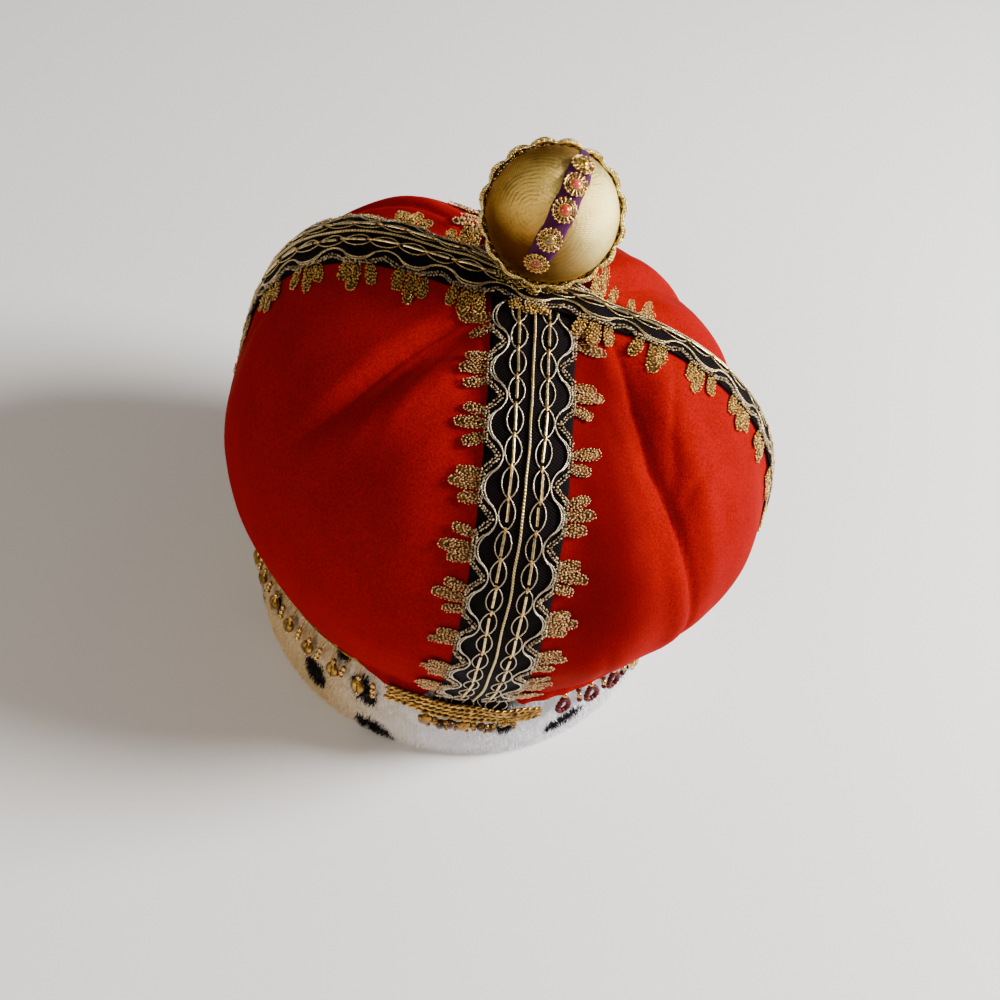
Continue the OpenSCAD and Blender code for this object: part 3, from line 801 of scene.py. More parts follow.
class CROWN_OT_cap(bpy.types.Operator):
    """Make the puffed velvet cap with its folds"""
    bl_idname = "crown.cap"
    bl_label = "Velvet cap"

    def execute(self, context):
        settings = context.scene.crown
        depth = settings.crease_depth * 1000
        rows, cols, inner_rows, inner_cols = 180, 440, 40, 110
        els = RIM_EL + (90 - RIM_EL) * np.linspace(0, 1, rows) ** 0.98
        els[-1] = 89.8
        az, el, outer = cloth_side(els, cols, depth, 0.0)
        inner_els = RIM_EL + (89.8 - RIM_EL) * np.linspace(0, 1, inner_rows)
        _, _, inner = cloth_side(inner_els, inner_cols, depth, -2.3)
        full = hem_hang(az[:cols])
        folds = 0.35 * np.sin(np.radians(az[:cols]) * GATHERS) * full
        hem = []
        for out, swell, folded, drop in HEM_ROWS:
            ring = (HEAD_R + out + swell * full + folded * folds)[:, None] * heading(az[:cols], 0.0)
            ring[:, 2] = SEAM_Z - drop * HEM_DROP * full
            hem.append(ring)
        for row, swell in enumerate((0.034, 0.022, 0.010)):
            outer[row * cols:(row + 1) * cols, :2] *= (1 + swell * full)[:, None]
        # Painted shade and darker nap on the velvet, none on the hem rows.
        painted_shade_and_nap = np.concatenate([np.zeros(len(hem) * cols), paint_strap_shade_and_nap(az, el)])
        outer, rows = np.concatenate([*hem, outer]), rows + len(hem)
        crown_point = cap_surface.point(np.array([[0, 0, 1.0]]))

        shape = Shape()
        shape.add(outer, grid_faces(rows, cols, closed=True), mark=painted_shade_and_nap)
        shape.fan(np.arange(cols) + (rows - 1) * cols, shape.add(crown_point))
        first = shape.add(inner, grid_faces(inner_rows, inner_cols, closed=True, flip=True), 1)
        top = np.arange(inner_cols) + (inner_rows - 1) * inner_cols + first
        shape.fan(top, shape.add(crown_point - [0, 0, 2.4]), 1, flip=True)
        share, j = cols // inner_cols, np.arange(cols)
        ring_in = first + (j // share) % inner_cols
        ring_next = first + ((j + 1) // share) % inner_cols
        shape.join(stack(j, ring_in, ring_next))
        shape.join(stack(j, ring_next, (j + 1) % cols))
        materials = [velvet(settings.velvet_colour), lining_cloth()]
        cap = dress(shape, "velvet_cap_cloth", materials, "velvet_red", "velvet_cap", "painted_shade_and_nap")
        return {"FINISHED"}


# Black spots of the fur: azimuth, height, half width, half height, slant in degrees.
SPOTS = [
    (-61.7, 37, 2.8, 4.2, 15), (-43, 22, 4.0, 6.2, 12), (-27.5, 35.5, 3.8, 6.0, 24), (-35.4, 52, 2.4, 2.8, 0),
    (-23, 5, 4.2, 6.5, 60), (10.7, 29.5, 3.0, 3.2, 0), (29, 22, 3.6, 6.2, -55), (51, 33, 2.6, 4.2, -25),
    (66, 18, 3.0, 5.6, -20), (-76, 14, 3.0, 5.4, 15), (-92, 42, 2.8, 4.8, 25),
    (84, 40, 2.8, 5.0, -20), (104, 22, 3.2, 6.0, 10), (121, 44, 2.6, 4.4, -25), (139, 16, 3.2, 5.8, 20),
    (157, 38, 2.8, 5.2, -15), (176, 18, 3.0, 5.6, 10), (194, 42, 2.8, 4.6, 20), (212, 20, 3.2, 5.8, -20),
    (231, 40, 2.6, 4.8, 15), (250, 16, 3.0, 5.6, -10),
]
BAND_TOP = BAND_H - 0.3
# Millimetres round the band for each degree.
ARC = 1.76


def band_radius(z):
    """Outer radius of the fur at each height."""
    return BAND_FOOT_R + (BAND_R - BAND_FOOT_R) * np.sqrt(np.sin(np.pi * np.clip(z / BAND_TOP, 0.0, 1.0)))


def spot_mask(az, z):
    """How black the fur is at each place, with a soft broken edge."""
    mask = np.zeros(len(az))
    ragged = 0.22 * roughly(stack(az * ARC, z, 0), 2.6, 4.0)
    for spot_az, spot_z, wide, high, slant in SPOTS:
        x, y = from_front(az - spot_az) * math.radians(1) * BAND_R, z - spot_z
        c, s = math.cos(math.radians(slant)), math.sin(math.radians(slant))
        u, v = (x * c + y * s) / wide, (-x * s + y * c) / high
        mask = np.maximum(mask, ease((1.9 - np.hypot(u, v) + ragged) / 0.3))
    return mask


def backing_shape():
    """The band's padded backing, a closed section turned round the head."""
    around, outer_rows, inner_rows = 240, 22, 10
    z_out = np.linspace(0.4, BAND_TOP - 0.4, outer_rows)
    z_in = np.linspace(BAND_TOP - 0.6, 0.6, inner_rows)
    section = np.concatenate([stack(band_radius(z_out) - 2.3, z_out), [[HEAD_R + 2.2, BAND_TOP]],
                              stack(HEAD_R + 0.15, z_in), [[HEAD_R + 1.8, 0.05]]])
    r, az = grid(section[:, 0], np.linspace(0, 360, around, endpoint=False))
    z = np.repeat(section[:, 1], around)
    outside = np.arange(len(z)) < outer_rows * around
    r = r + 0.35 * roughly(stack(az * 1.7, z, 0), 14, 2.2) * outside
    ring = r[:, None] * heading(az, 0.0)
    ring[:, 2] = z
    shape = Shape()
    shape.add(ring, grid_faces(len(section), around, closed=True, looped=True), np.where(outside, 0, 1),
              mark=spot_mask(az, z) * outside)
    return shape


def pile_shape(hairs, pile_length):
    """The fur's hairs, each a bent blade combed down and a little to the side."""
    rng = np.random.default_rng(11)
    az = rng.uniform(0, 360, hairs)
    z = rng.uniform(0.9, BAND_TOP - 0.2, hairs)
    half = (0.5 * pile_length * rng.uniform(0.7, 1.2, hairs))[:, None]
    out, side, up = heading(az, 0.0), heading(az + 90, 0.0), np.array([0, 0, 1.0])
    tuft = stack(az * ARC, z, 0)
    sway = 0.55 * roughly(tuft, 7, 1.0)
    comb = -0.75 + 0.45 * roughly(tuft, 9, 6.0)
    lean_side = (sway + 0.35 * rng.standard_normal(hairs))[:, None] * side
    lean_up = (comb + 0.3 * rng.standard_normal(hairs))[:, None] * up
    low = np.minimum(z / 7, 1)[:, None]
    lean = lean_side + lean_up * low + 0.25 * up * (1 - low)
    first, second = unit(out + 0.7 * lean), unit(out * 0.3 + 1.1 * lean)
    root = out * (band_radius(z) - 2.4)[:, None] + up * z[:, None]
    mid = root + first * half
    tip = mid + second * half
    reach = np.hypot(tip[:, 0], tip[:, 1])
    tip[:, :2] *= np.minimum(1, (band_radius(z) + 0.45) / reach)[:, None]
    tip[:, 2] = np.clip(tip[:, 2], 0.1, BAND_H + 0.6)
    mid[:, 2] = np.clip(mid[:, 2], 0.1, BAND_H)
    wide = (0.19 * rng.uniform(0.8, 1.3, hairs))[:, None]
    across = wide * unit(np.cross(first, unit(rng.standard_normal((hairs, 3)))) + 1e-9)
    seen = 0.5 * (mid + tip)
    black = spot_mask(angles(seen)[0], seen[:, 2]) > rng.uniform(0.2, 0.7, hairs)
    shape = Shape()
    shape.add(np.stack([root - across, root + across, mid - 0.75 * across, mid + 0.75 * across, tip], 1))
    base = (np.arange(hairs) * 5)[:, None]
    shape.join(base + [[0, 1, 3, 2]], black)
    shape.join(base + [[2, 3, 4]], black)
    return shape


class CROWN_OT_fur(bpy.types.Operator):
    """Make the fur band: a padded backing and its pile"""
    bl_idname = "crown.fur"
    bl_label = "Fur band"

    def execute(self, context):
        settings = context.scene.crown
        materials = [fur_skin(), lining_cloth()]
        backing = dress(backing_shape(), "fur_band_padding", materials, "fur_white", "fur_band", "spot")
        hairs = pile_shape(settings.pile_hairs, settings.pile_length * 1000)
        dress(hairs, "fur_pile", [fur_hair(settings.fur_colour), black_hair()], "fur_white")
        return {"FINISHED"}


# How far the long strap's lace stays from the middle of the cross strap.
CROSSING_CLEAR = 27.0
# Height of the thread work over the cap, and its slots.
SEAT = 1.72
CORD, SILVER, BUGLE, COPPER = 0, 1, 2, 3


def ribbon_shape(line):
    """The black ribbon, softly crowned, with small waves."""
    rows, cols, half = 330, 16, STRAP_W / 2
    x, y = grid(np.linspace(1.0, line.length - 1.0, rows), np.linspace(-half, half, cols))
    wave = 0.22 * roughly(stack(x, y, 0), 9, 2.0)
    edge = 0.25 * roughly(stack(x, 0, np.sign(y) * 9), 6, 5.0) * (np.abs(y) > half - 0.1)
    crown = 0.35 * (1 - (y / half) ** 2)
    shape = Shape()
    shape.slab(stack(x, y + edge, 1.25 + crown + wave), stack(x, y + edge, 0.55), rows, cols, stack(x, y))
    return shape


def hand_drift(x, seed, amount):
    """Small wandering of hand-laid thread along a strap."""
    return amount * roughly(stack(x, 0, seed * 13.0), 17, seed)


def tail_shape():
    """Ends of the ribbon's threads and cloth tucked down behind the crest."""
    def tucked(z):
        return 1.3 * ease((BAND_H + 1 - z) / 5)

    shape = Shape()
    rows, cols = 7, 24
    z, x = grid(np.linspace(BAND_H + 1.2, BAND_H - 10.0, rows), np.linspace(-17.0, 17.0, cols))
    out = -2.1 + tucked(z) + 0.2 * np.sin(x * 1.1)
    shape.add(stack(x, out, z), grid_faces(rows, cols, flip=True), uv=stack(z, x))
    shape.add(stack(x, out - 0.7, z), grid_faces(rows, cols), uv=stack(z, x))
    z = np.linspace(BAND_H + 2.0, BAND_H - 9.0, 16)
    for k, across in enumerate(np.linspace(-15, 15, 9)):
        shape.cord(stack(across + 1.2 * np.sin(z * 0.7 + 1.7 * k), -1.75 + tucked(z), z), 0.27, slot=1)
    return shape


def thread_shape(line):
    """Cord, chains, bugle bars and wavy double threads worked on the ribbon."""
    shape = Shape()
    rng = np.random.default_rng(5 + line.cross)
    x = np.arange(2.0, line.length - 2.0, 0.75)
    link = CLUSTER_PITCH / 2
    shape.cord(stack(x, hand_drift(x, 1, 0.7), SEAT + 0.35), 0.55, 7, CORD)
    for side in (-1, 1):
        middle = side * 5.7 + hand_drift(x, 2 + side, 0.5)
        phase = np.pi * (x - line.start) / link
        for k in (-1, 1):
            swing = 2.95 * fuller(np.sin(phase) * k, 0.6)
            shape.cord(stack(x, middle + swing, SEAT + 0.28 + 0.26 * np.cos(phase) * k), 0.27, slot=SILVER)
        for at in np.arange(line.start + link / 2, line.length - 4, link):
            half = rng.uniform(3.2, 4.9)
            centre = at + rng.uniform(-1, 1)
            there = at + link / 2 + rng.uniform(-0.4, 0.4)
            knot = stack(there + np.linspace(-1.3, 1.3, 4), np.interp(there, x, middle), SEAT + 0.75)
            shape.cord(knot, [0.3, 0.52, 0.52, 0.3], 6, COPPER)
            t = np.linspace(-half, half, 5)
            drift = np.interp(centre, x, middle) + rng.uniform(-0.25, 0.25)
            bar = stack(centre + t, drift + t * rng.uniform(-0.05, 0.05), SEAT + 0.5)
            shape.cord(bar, 0.62, 6, BUGLE)
        wave = fuller(np.cos(ROUND * (x - line.shift(side)) / CLUSTER_PITCH), 0.75)
        narrow, centre = (0.8, 12.9) if line.cross else (1.0, 12.4)
        for k, (reach, lift) in enumerate(((3.3, 0.3), (2.7, 0.42))):
            y = side * (centre - 0.5 * k + reach * narrow * wave) + hand_drift(x, 6 + side + k, 0.35)
            shape.cord(stack(x, y, SEAT + lift), 0.29, slot=SILVER)
    return shape


STITCH, PAD, GIMP = 0, 1, 2
# A leaf is drawn as one pad and four rows of stitches.
LEAF_ROWS = (1.0, 0.68, 0.36, 0.1)


def leaf(shape, root, angle, long, wide, rng, z):
    """One lace leaf: a small pad under rows of thread stitches that follow its outline; the pad is dark,
    painted shade between the stitches.
    """
    c, s = math.cos(angle), math.sin(angle)
    corners = 18

    def outline(share, turn):
        y = long * 0.5 * (1 - np.cos(turn)) * share + long * 0.5 * (1 - share)
        x = wide * 0.5 * fuller(np.sin(turn), 0.75) * share * (0.85 + 0.22 * np.clip(y / long, 0, 1))
        return x, y

    def place(x, y, h):
        return stack(root[0] + x * c - y * s, root[1] + x * s + y * c, h)

    ring = place(*outline(0.96, ring_of(corners)), z - 0.1)
    first = shape.add(np.concatenate([ring, [place(0.0, long / 2, z + 0.5)]]))
    shape.fan(first + np.arange(corners), first + corners, PAD)
    for share in LEAF_ROWS:
        around = 2.2 * math.sqrt(((long * share) ** 2 + (wide * share) ** 2) / 2) * 1.25
        count = max(2, int(around))
        x, y = outline(share, (np.arange(count) + rng.uniform(0, 1)) * 2 * np.pi / count)
        ahead = np.arctan2(np.gradient(y), np.gradient(x)) + angle + rng.uniform(-0.5, 0.5, count)
        at = place(x, y, z + 0.25 + 0.45 * (1 - share)) + rng.normal(0, 0.16, (count, 3))
        sizes = stack(rng.uniform(0.42, 0.62, count), rng.uniform(0.28, 0.4, count), 0.38)
        shape.strew(GRAIN, at, sizes, ahead, STITCH)


def lift_last_leaf(shape, edge, slope):
    """Tilts the last leaf up from the ribbon's edge."""
    for points in shape.points[-1 - len(LEAF_ROWS):]:
        points[:, 2] += slope * np.maximum(points[:, 1] - edge, 0)


def lace_shape(line):
    """Leaf clusters along both edges, and the braid that runs in and out between them."""
    shape = Shape()
    rng = np.random.default_rng(21 + line.cross)
    clear = 0.0 if line.cross else CROSSING_CLEAR
    for side in (-1, 1):
        shift = line.shift(side)
        for at in np.arange(shift, line.length - 3, CLUSTER_PITCH):
            from_middle = abs(at - line.middle)
            if from_middle < clear - 8 or at < 3:
                continue
            stand = rng.uniform(0.35, 0.8) * (1 - ease((from_middle - 55) / 25))
            full = 0.45 if line.cross and side < 0 and from_middle < 14 else 1.0
            for k, long, wide in ((-1, 9.2, 4.5), (0, 12.8, 4.9), (1, 9.2, 4.5)):
                if k and rng.uniform() < 0.07:
                    continue
                root = (at + 4.7 * k + rng.uniform(-0.5, 0.5), side * (STRAP_W / 2 - 0.6))
                angle = math.radians(-8 * k * side + rng.uniform(-11, 11)) + (0.0 if side > 0 else math.pi)
                long, wide = full * long * rng.uniform(0.9, 1.1), wide * rng.uniform(0.92, 1.1)
                leaf(shape, root, angle, long, wide, rng, 0.85)
                if line.cross and side > 0:
                    lift_last_leaf(shape, root[1], stand)
        x = np.arange(1.5, line.length - 1.5, 0.05)
        phase = ((x - shift) / CLUSTER_PITCH + 0.5) % 1.0 - 0.5
        inward = np.clip((np.abs(phase) - 0.27) / 0.23, 0, 1)
        y = side * (16.0 - (2.6 if line.cross else 5.2) * inward ** 0.9)
        run = run_along(stack(x, y))
        steps = np.arange(0, run[-1], 0.6)
        bx, by = np.interp(steps, run, x), np.interp(steps, run, y)
        by = by + hand_drift(bx, 9 + side, 0.3)
        keep = np.abs(bx - line.middle) >= clear
        bx, by = bx[keep], by[keep]
        slope = np.arctan2(np.gradient(by), np.gradient(bx))
        odd = np.where(np.arange(len(bx)) % 2 == 0, 1.0, -1.0)
        centres = stack(bx - odd * 0.58 * np.sin(slope), by + odd * 0.58 * np.cos(slope), 1.95)
        sizes = stack(rng.uniform(0.5, 0.78, len(bx)), rng.uniform(0.36, 0.52, len(bx)), 0.5)
        shape.strew(GRAIN, centres + rng.normal(0, 0.12, centres.shape), sizes, slope + odd * 0.6, GIMP)
    return shape


class CROWN_OT_straps(bpy.types.Operator):
    """Make both straps: black ribbon, thread work and lace edges"""
    bl_idname = "crown.straps"
    bl_label = "Straps"

    def execute(self, context):
        cloth = ribbon_cloth()
        cord = twisted_metal("centre_cord", (0.36, 0.24, 0.07), (0.96, 0.78, 0.40), 0.28, 0.8)
        silver = twisted_metal("silver_gold_thread", (0.30, 0.22, 0.12), (0.95, 0.86, 0.68),
                               0.26, 1.6, 0.0001)
        gilt = twisted_metal("gilt_thread", (0.30, 0.19, 0.06), (0.96, 0.80, 0.44), 0.26, 1.6, 0.0001)
        bugle, copper, stitch, yellow, gimp, pad = (glinting_metal(*made) for made in (
            ("bugle_gold", (0.42, 0.26, 0.08), (0.98, 0.80, 0.42), 0.2, 800.0),
            ("copper_gold", (0.55, 0.26, 0.06), (0.95, 0.62, 0.20), 0.25, 700.0),
            ("lace_thread", (0.24, 0.10, 0.03), (0.95, 0.60, 0.28), 0.26, 1100.0),
            ("yellow_lace_thread", (0.24, 0.11, 0.02), (0.98, 0.66, 0.18), 0.26, 1100.0),
            ("gimp_thread", (0.05, 0.03, 0.015), (0.74, 0.56, 0.34), 0.3, 800.0),
            # A dark brown for the leaves' pads, the crest's ground and the fringe's slits: painted shade
            # between stitches and cords and in slits.
            ("painted_shade_ground", (0.035, 0.014, 0.004), (0.16, 0.075, 0.02), 0.5, 600.0),
        ))
        tail = tail_shape()
        tail.bend(round_band)
        dress(tail, "strap_tail", [cloth, silver], "ribbon_black")
        for name, cross in (("long", False), ("cross", True)):
            line = StrapLine(cross)
            ribbon, work, edge = ribbon_shape(line), thread_shape(line), lace_shape(line)
            for part in (ribbon, work, edge):
                part.bend(line.bend)
            strip = dress(ribbon, name + "_ribbon", [cloth], "ribbon_black", name + "_strap")
            threads = dress(work, name + "_thread_work", [cord, gilt if cross else silver, bugle, copper],
                            "ribbon_black")
            lace = dress(edge, name + "_lace_edge", [yellow if cross else stitch, pad, gimp],
                         "lace_gold", name + "_lace")
        return {"FINISHED"}


# The ball's neck is a cone along ORB_NECK, from one (distance from the ball's centre, radius) to the other.
NECK_TOP, NECK_FOOT = (12, 20), (28, 5)
RIBBON_TURN = 7
# Elevations of the flowers along the ball's ribbon.
FLOWER_AT = (50, 29, 7, -18, -42)


def orb_reach(d):
    """Radius of the ball with its neck in its own frame."""
    slope = (NECK_TOP[1] - NECK_FOOT[1]) / (NECK_FOOT[0] - NECK_TOP[0])
    turn = np.arccos(np.clip(d @ ORB_NECK, -1, 1))
    cone = (NECK_FOOT[1] + NECK_FOOT[0] * slope) / (np.sin(turn) + slope * np.cos(turn))
    return np.maximum(ORB_R, np.where(turn > math.radians(60), 0, np.minimum(cone, 34.0)))


def ball_shape():
    """The ball's cloth, drawn in pleats to its neck."""
    rows, cols = 84, 120
    t, p = grid(np.radians(np.linspace(179.5, 10.5, rows)), ring_of(cols))
    side_a = unit(np.cross(ORB_NECK, [1.0, 0, 0]))
    side_b = np.cross(ORB_NECK, side_a)
    round_neck = np.cos(p)[:, None] * side_a + np.sin(p)[:, None] * side_b
    d = np.cos(t)[:, None] * ORB_NECK + np.sin(t)[:, None] * round_neck
    rough = roughly(d * ORB_R, 9, 2.0)
    pleat = np.abs(np.sin(7.5 * p + 0.9 * rough)) - 0.5
    near_neck = bell(t, math.radians(38))
    reach = orb_reach(d) - 0.25 + 0.9 * pleat * near_neck + 0.22 * rough * (1 - near_neck)
    shape = Shape()
    shape.add(d * reach[:, None], grid_faces(rows, cols, closed=True), uv=stack(p * ORB_R, t * ORB_R))
    tip = shape.add([-ORB_NECK * (ORB_R - 0.2), ORB_NECK * 30.5])
    k = np.arange(cols)
    shape.fan(k, tip, flip=True)
    shape.fan(k + (rows - 1) * cols, tip + 1)
    return shape


def ring_point(a, out, off):
    """Point over the beaded ring, in the ball's frame, at angle a."""
    d = stack(np.sin(a), 0, np.cos(a))
    return d * (orb_reach(d) + out)[:, None] + stack(0, off, 0)


def trim_shape(scallops):
    """Twisted cord against the ball, and the beads that rise over it in scallops."""
    shape = Shape()
    a = ring_of(420)
    for k in (0, 1):
        twist = 46 * a + np.pi * k
        path = ring_point(a, 0.35 + 0.4 * np.cos(twist), 0.4 * np.sin(twist))
        shape.cord(path, 0.5, slot=k, closed=True, up=(0, 1, 0))
    rng = np.random.default_rng(8)
    for k in range(scallops):
        centre = ROUND * (k + 0.5) / scallops
        for share, count in ((1.0, 13), (0.72, 11), (0.44, 9)):
            t = np.linspace(-1, 1, count)
            angle = centre + 0.47 * t * share ** 0.3 * ROUND / scallops
            rise = 0.7 + 1.6 * share * (1 - t**2)
            for off in (-0.45, 0.45):
                at = ring_point(angle, rise, off * (2 - share)) + rng.normal(0, 0.07, (count, 3))
                shape.strew(GRAIN, at, 0.72, slot=2)
    return shape


def orb_ribbon_shape():
    """The purple ribbon over the ball in two lengths, its edges slightly wavy."""
    shape = Shape()
    across = heading(RIBBON_TURN + 90, 0.0)
    for lo, hi in ((-50, 83), (97, 190)):
        rows, cols = int((hi - lo) / 2), 9
        a, v = grid(np.radians(np.linspace(lo, hi, rows)), np.linspace(-0.5, 0.5, cols))
        narrowed = (1 - 0.45 * ease((-0.6 - a) / 0.3)) * (1 - 0.6 * ease((a - 0.92) / 0.2) * (a < 1.57))
        wide = (9.4 + 0.6 * np.sin(a * 13)) * narrowed
        d = unit(heading(RIBBON_TURN, np.degrees(a)) * ORB_R + across * (v * wide)[:, None])
        lift = 0.75 + 0.25 * roughly(d * ORB_R, 4, 3.0) - 0.35 * (2 * np.abs(v)) ** 4
        shape.slab(d * (orb_reach(d) + lift)[:, None], d * (orb_reach(d) + 0.12)[:, None], rows, cols)
    return shape


def flower_place(k):
    """Matrix from a flower's own frame to the crown's."""
    turn = spin(RIBBON_TURN, "Z") @ spin(90 - FLOWER_AT[k], "X")
    return ORB_MATRIX @ turn @ Matrix.Translation((0, 0, ORB_R + 1.1))


def flower_shape(seed):
    """Filigree flower: rings of wire, spokes, beads at their ends and a beaded collar."""
    shape = Shape()
    rng = np.random.default_rng(40 + seed)
    t = ring_of(40)
    for r, size, z in ((2.4, 0.26, 0.75), (1.95, 0.22, 1.0), (4.15, 0.3, 0.35), (3.3, 0.16, 0.4)):
        shape.cord(stack(r * np.cos(t), r * np.sin(t), z), size, 6, closed=True)
    spokes = np.arange(16) * 2 * np.pi / 16
    s = np.linspace(1.9, 4.3, 5)
    for a in spokes:
        path = stack(s * math.cos(a), s * math.sin(a), 0.7 - 0.15 * (s - 2))
        shape.cord(path, [0.2, 0.24, 0.3, 0.34, 0.3])
    ring = stack(4.45 * np.cos(spokes), 4.45 * np.sin(spokes), 0.42) + rng.normal(0, 0.05, (len(spokes), 3))
    shape.strew(SMALL_BALL, ring, 0.5)
    fine = np.arange(20) * 2 * np.pi / 20
    shape.strew(GRAIN, stack(2.3 * np.cos(fine), 2.3 * np.sin(fine), 1.05), 0.3)
    return shape


def stone_shape():
    """Round domed stone in a flower."""
    rings, around = 10, 28
    dome = sphere_points(np.linspace(0.02, np.pi / 2, rings), around)
    shape = Shape()
    shape.add(dome * [1.95, 1.95, 1.5] + [0, 0, 0.85], grid_faces(rings, around, closed=True, flip=True))
    tip = shape.add([[0, 0, 2.35], [0, 0, 0.7]])
    k = np.arange(around)
    shape.fan(k, tip)
    shape.fan(k + (rings - 1) * around, tip + 1, flip=True)
    return shape


def foot_loops_shape(line):
    """Beaded loops and small leaves bunched round the foot of the neck, laid on the cross strap."""
    shape = Shape()
    rng = np.random.default_rng(77)
    for k in range(15):
        a = 2 * np.pi * (k + rng.uniform(-0.2, 0.2)) / 15
        root = (line.middle + 6.0 * math.cos(a), 6.0 * math.sin(a))
        long, wide = rng.uniform(6.5, 9.5), rng.uniform(4.0, 5.0)
        # The height is drawn before the leaf draws its stitches.
        leaf(shape, root, a - math.pi / 2, long, wide, rng, 2.7 + rng.uniform(0, 0.6))
    t = ring_of(18)
    for k in range(10):
        a = 2 * np.pi * (k + rng.uniform(-0.3, 0.3)) / 10
        long, wide = rng.uniform(5, 8), rng.uniform(2.4, 3.4)
        x, y = 5.0 + long * 0.5 * (1 - np.cos(t)), wide * 0.5 * np.sin(t)
        c, s = math.cos(a), math.sin(a)
        shape.strew(GRAIN, stack(line.middle + x * c - y * s, x * s + y * c, 3.4 + 1.1 * np.sin(t / 2)), 0.62)
    return shape


class CROWN_OT_orb(bpy.types.Operator):
    """Make the cloth ball with its ribbon, flowers, stones and beaded trim"""
    bl_idname = "crown.orb"
    bl_label = "Orb"

    def execute(self, context):
        gold = glinting_metal("bead_gold", (0.42, 0.25, 0.05), (1.0, 0.82, 0.32), 0.2, 500.0)
        dark = twisted_metal("dark_cord", (0.015, 0.006, 0.001), (0.15, 0.08, 0.015), 0.4, 1.2)
        bright = twisted_metal("bright_cord", (0.13, 0.065, 0.008), (0.80, 0.54, 0.14), 0.3, 1.2)
        filigree = glinting_metal("filigree_gold", (0.34, 0.17, 0.025), (0.94, 0.63, 0.19), 0.2, 900.0)
        ball, trim, ribbon = ball_shape(), trim_shape(context.scene.crown.scallops), orb_ribbon_shape()
        for shape in (ball, trim, ribbon):
            shape.bend(through(ORB_MATRIX))
        cloth = dress(ball, "orb_cloth_ball", [lame_cloth()], "orb_cloth", "orb")
        dress(trim, "orb_bead_trim", [dark, bright, gold], "bead_gold", "orb_trim")
        purple = dress(ribbon, "orb_purple_ribbon", [purple_ribbon()], "ribbon_purple", "orb_ribbon")
        stones = (glinting_metal("stone_yellow", (0.50, 0.28, 0.02), (0.98, 0.74, 0.12), 0.2, 900.0),
                  polished_stone("stone_coral", (0.62, 0.085, 0.04)),
                  polished_stone("stone_orange", (0.48, 0.035, 0.006)),
                  polished_stone("stone_dark_gold", (0.20, 0.12, 0.02)),
                  polished_stone("stone_brown", (0.26, 0.035, 0.008)))
        slots = ("stone_yellow", "stone_coral", "stone_orange", "stone_dark_gold", "stone_brown")
        for k, (stone, slot) in enumerate(zip(stones, slots)):
            petals, gem = flower_shape(k), stone_shape()
            for shape in (petals, gem):
                shape.bend(through(flower_place(k)))
            dress(petals, f"flower_{k + 1}", [filigree], "filigree_gold", f"orb_flower_{k + 1}")
            dress(gem, f"flower_stone_{k + 1}", [stone], slot, f"orb_stone_{k + 1}")
        line = StrapLine(True)
        loops = foot_loops_shape(line)
        loops.bend(line.bend)
        dress(loops, "neck_foot_loops", [gold, bpy.data.materials["painted_shade_ground"]], "bead_gold")
        return {"FINISHED"}


# The crest's drops from left to right: azimuth, how far under the seam, and kind.
CREST_DROPS = ((-10, 16.6, "leaf"), (-5, 18.0, "pair"), (-0.4, 17.2, "leaf"),
               (4.6, 18.2, "bead"), (9.6, 16.6, "gold"))
DROP, GILT = 0, 1
# The beads of each kind of drop: form, size, slot and places as (across, outward, up).
DROP_BEADS = {
    "leaf": ((BALL, (3.0, 1.5, 4.6), DROP, [(0, 0.9, -0.9)]),
             (SMALL_BALL, 1.1, GILT, [(-2.6, 1.2, 0.6), (2.6, 1.2, -0.9), (1.6, 1.2, -4.6)])),
    "pair": ((BALL, 2.4, DROP, [(-2.1, 0.9, -1.4), (1.9, 1.1, 0.4)]),
             (SMALL_BALL, 1.15, GILT, [(-0.2, 1.6, 2.2), (0.9, 1.4, -3.2), (3.6, 1.2, -2.0)])),
    "bead": ((BALL, 2.2, DROP, [(-1.2, 0.9, -0.4), (3.0, 0.9, -1.6)]),
             (SMALL_BALL, 1.15, GILT, [(0.9, 1.6, 1.4), (0.8, 1.3, -3.6)])),
    "gold": ((SMALL_BALL, 1.4, GILT, [(-2.2, 0.4, 0.6), (0, 0.6, -0.4), (2.2, 0.4, 0.4), (0.8, 0.9, 2.0)]),
             (SMALL_BALL, 1.2, DROP, [(-1.0, 0.4, -1.9)])),
}


def crest_line(t, row):
    """Path of one crest cord, t from -1 at its left end to 1 at its right."""
    x = t * (34.8 - 0.9 * (row % 2)) - 2.4
    wave = 0.7 * np.sin(2.4 * np.pi * t + 0.5 * row) * (1 - 0.4 * t**2) - 0.5 * t
    out = CREST_R - FRINGE_R + 1.1 + 0.35 * np.sin(3.1 * np.pi * t + row)
    pinch = 1 - 0.15 * np.abs(t) ** 3 - 0.3 * ease((t + 0.2) / 1.2)
    fall = 4.4 * ease((t + 1) / 2)
    return stack(x, out, CREST_Z + (1.5 + (row - 1.5) * pinch) * CREST_PITCH + wave - fall)


def crest_shape():
    """Four cords, each a rope of two strands with a bead at its ends, over a dark ground that is painted
    shade between them.
    """
    shape = Shape()
    t = np.linspace(-1, 1, 220)
    for row in range(4):
        middle = crest_line(t, row)
        run = run_along(middle)
        step = np.arange(0, run[-1], 0.36)
        core = stack(*(np.interp(step, run, middle[:, k]) for k in range(3)))
        for strand in (0.0, np.pi):
            turn = strand + 2 * np.pi * (step / 6.2 + 0.31 * row)
            shape.cord(core + 0.55 * stack(0, np.cos(turn), np.sin(turn)), 0.6, 7, up=(0.3, 1, 0))
        shape.strew(GRAIN, middle[[0, -1]], 1.15)
    # A dark sheet behind the cords: painted shade between them.
    ground = np.stack([crest_line(t, row) for row in (-0.2, 1.5, 3.2)])
    ground[:, :, 1] -= 0.8
    shape.add(ground, grid_faces(3, len(t)), 1)
    return shape


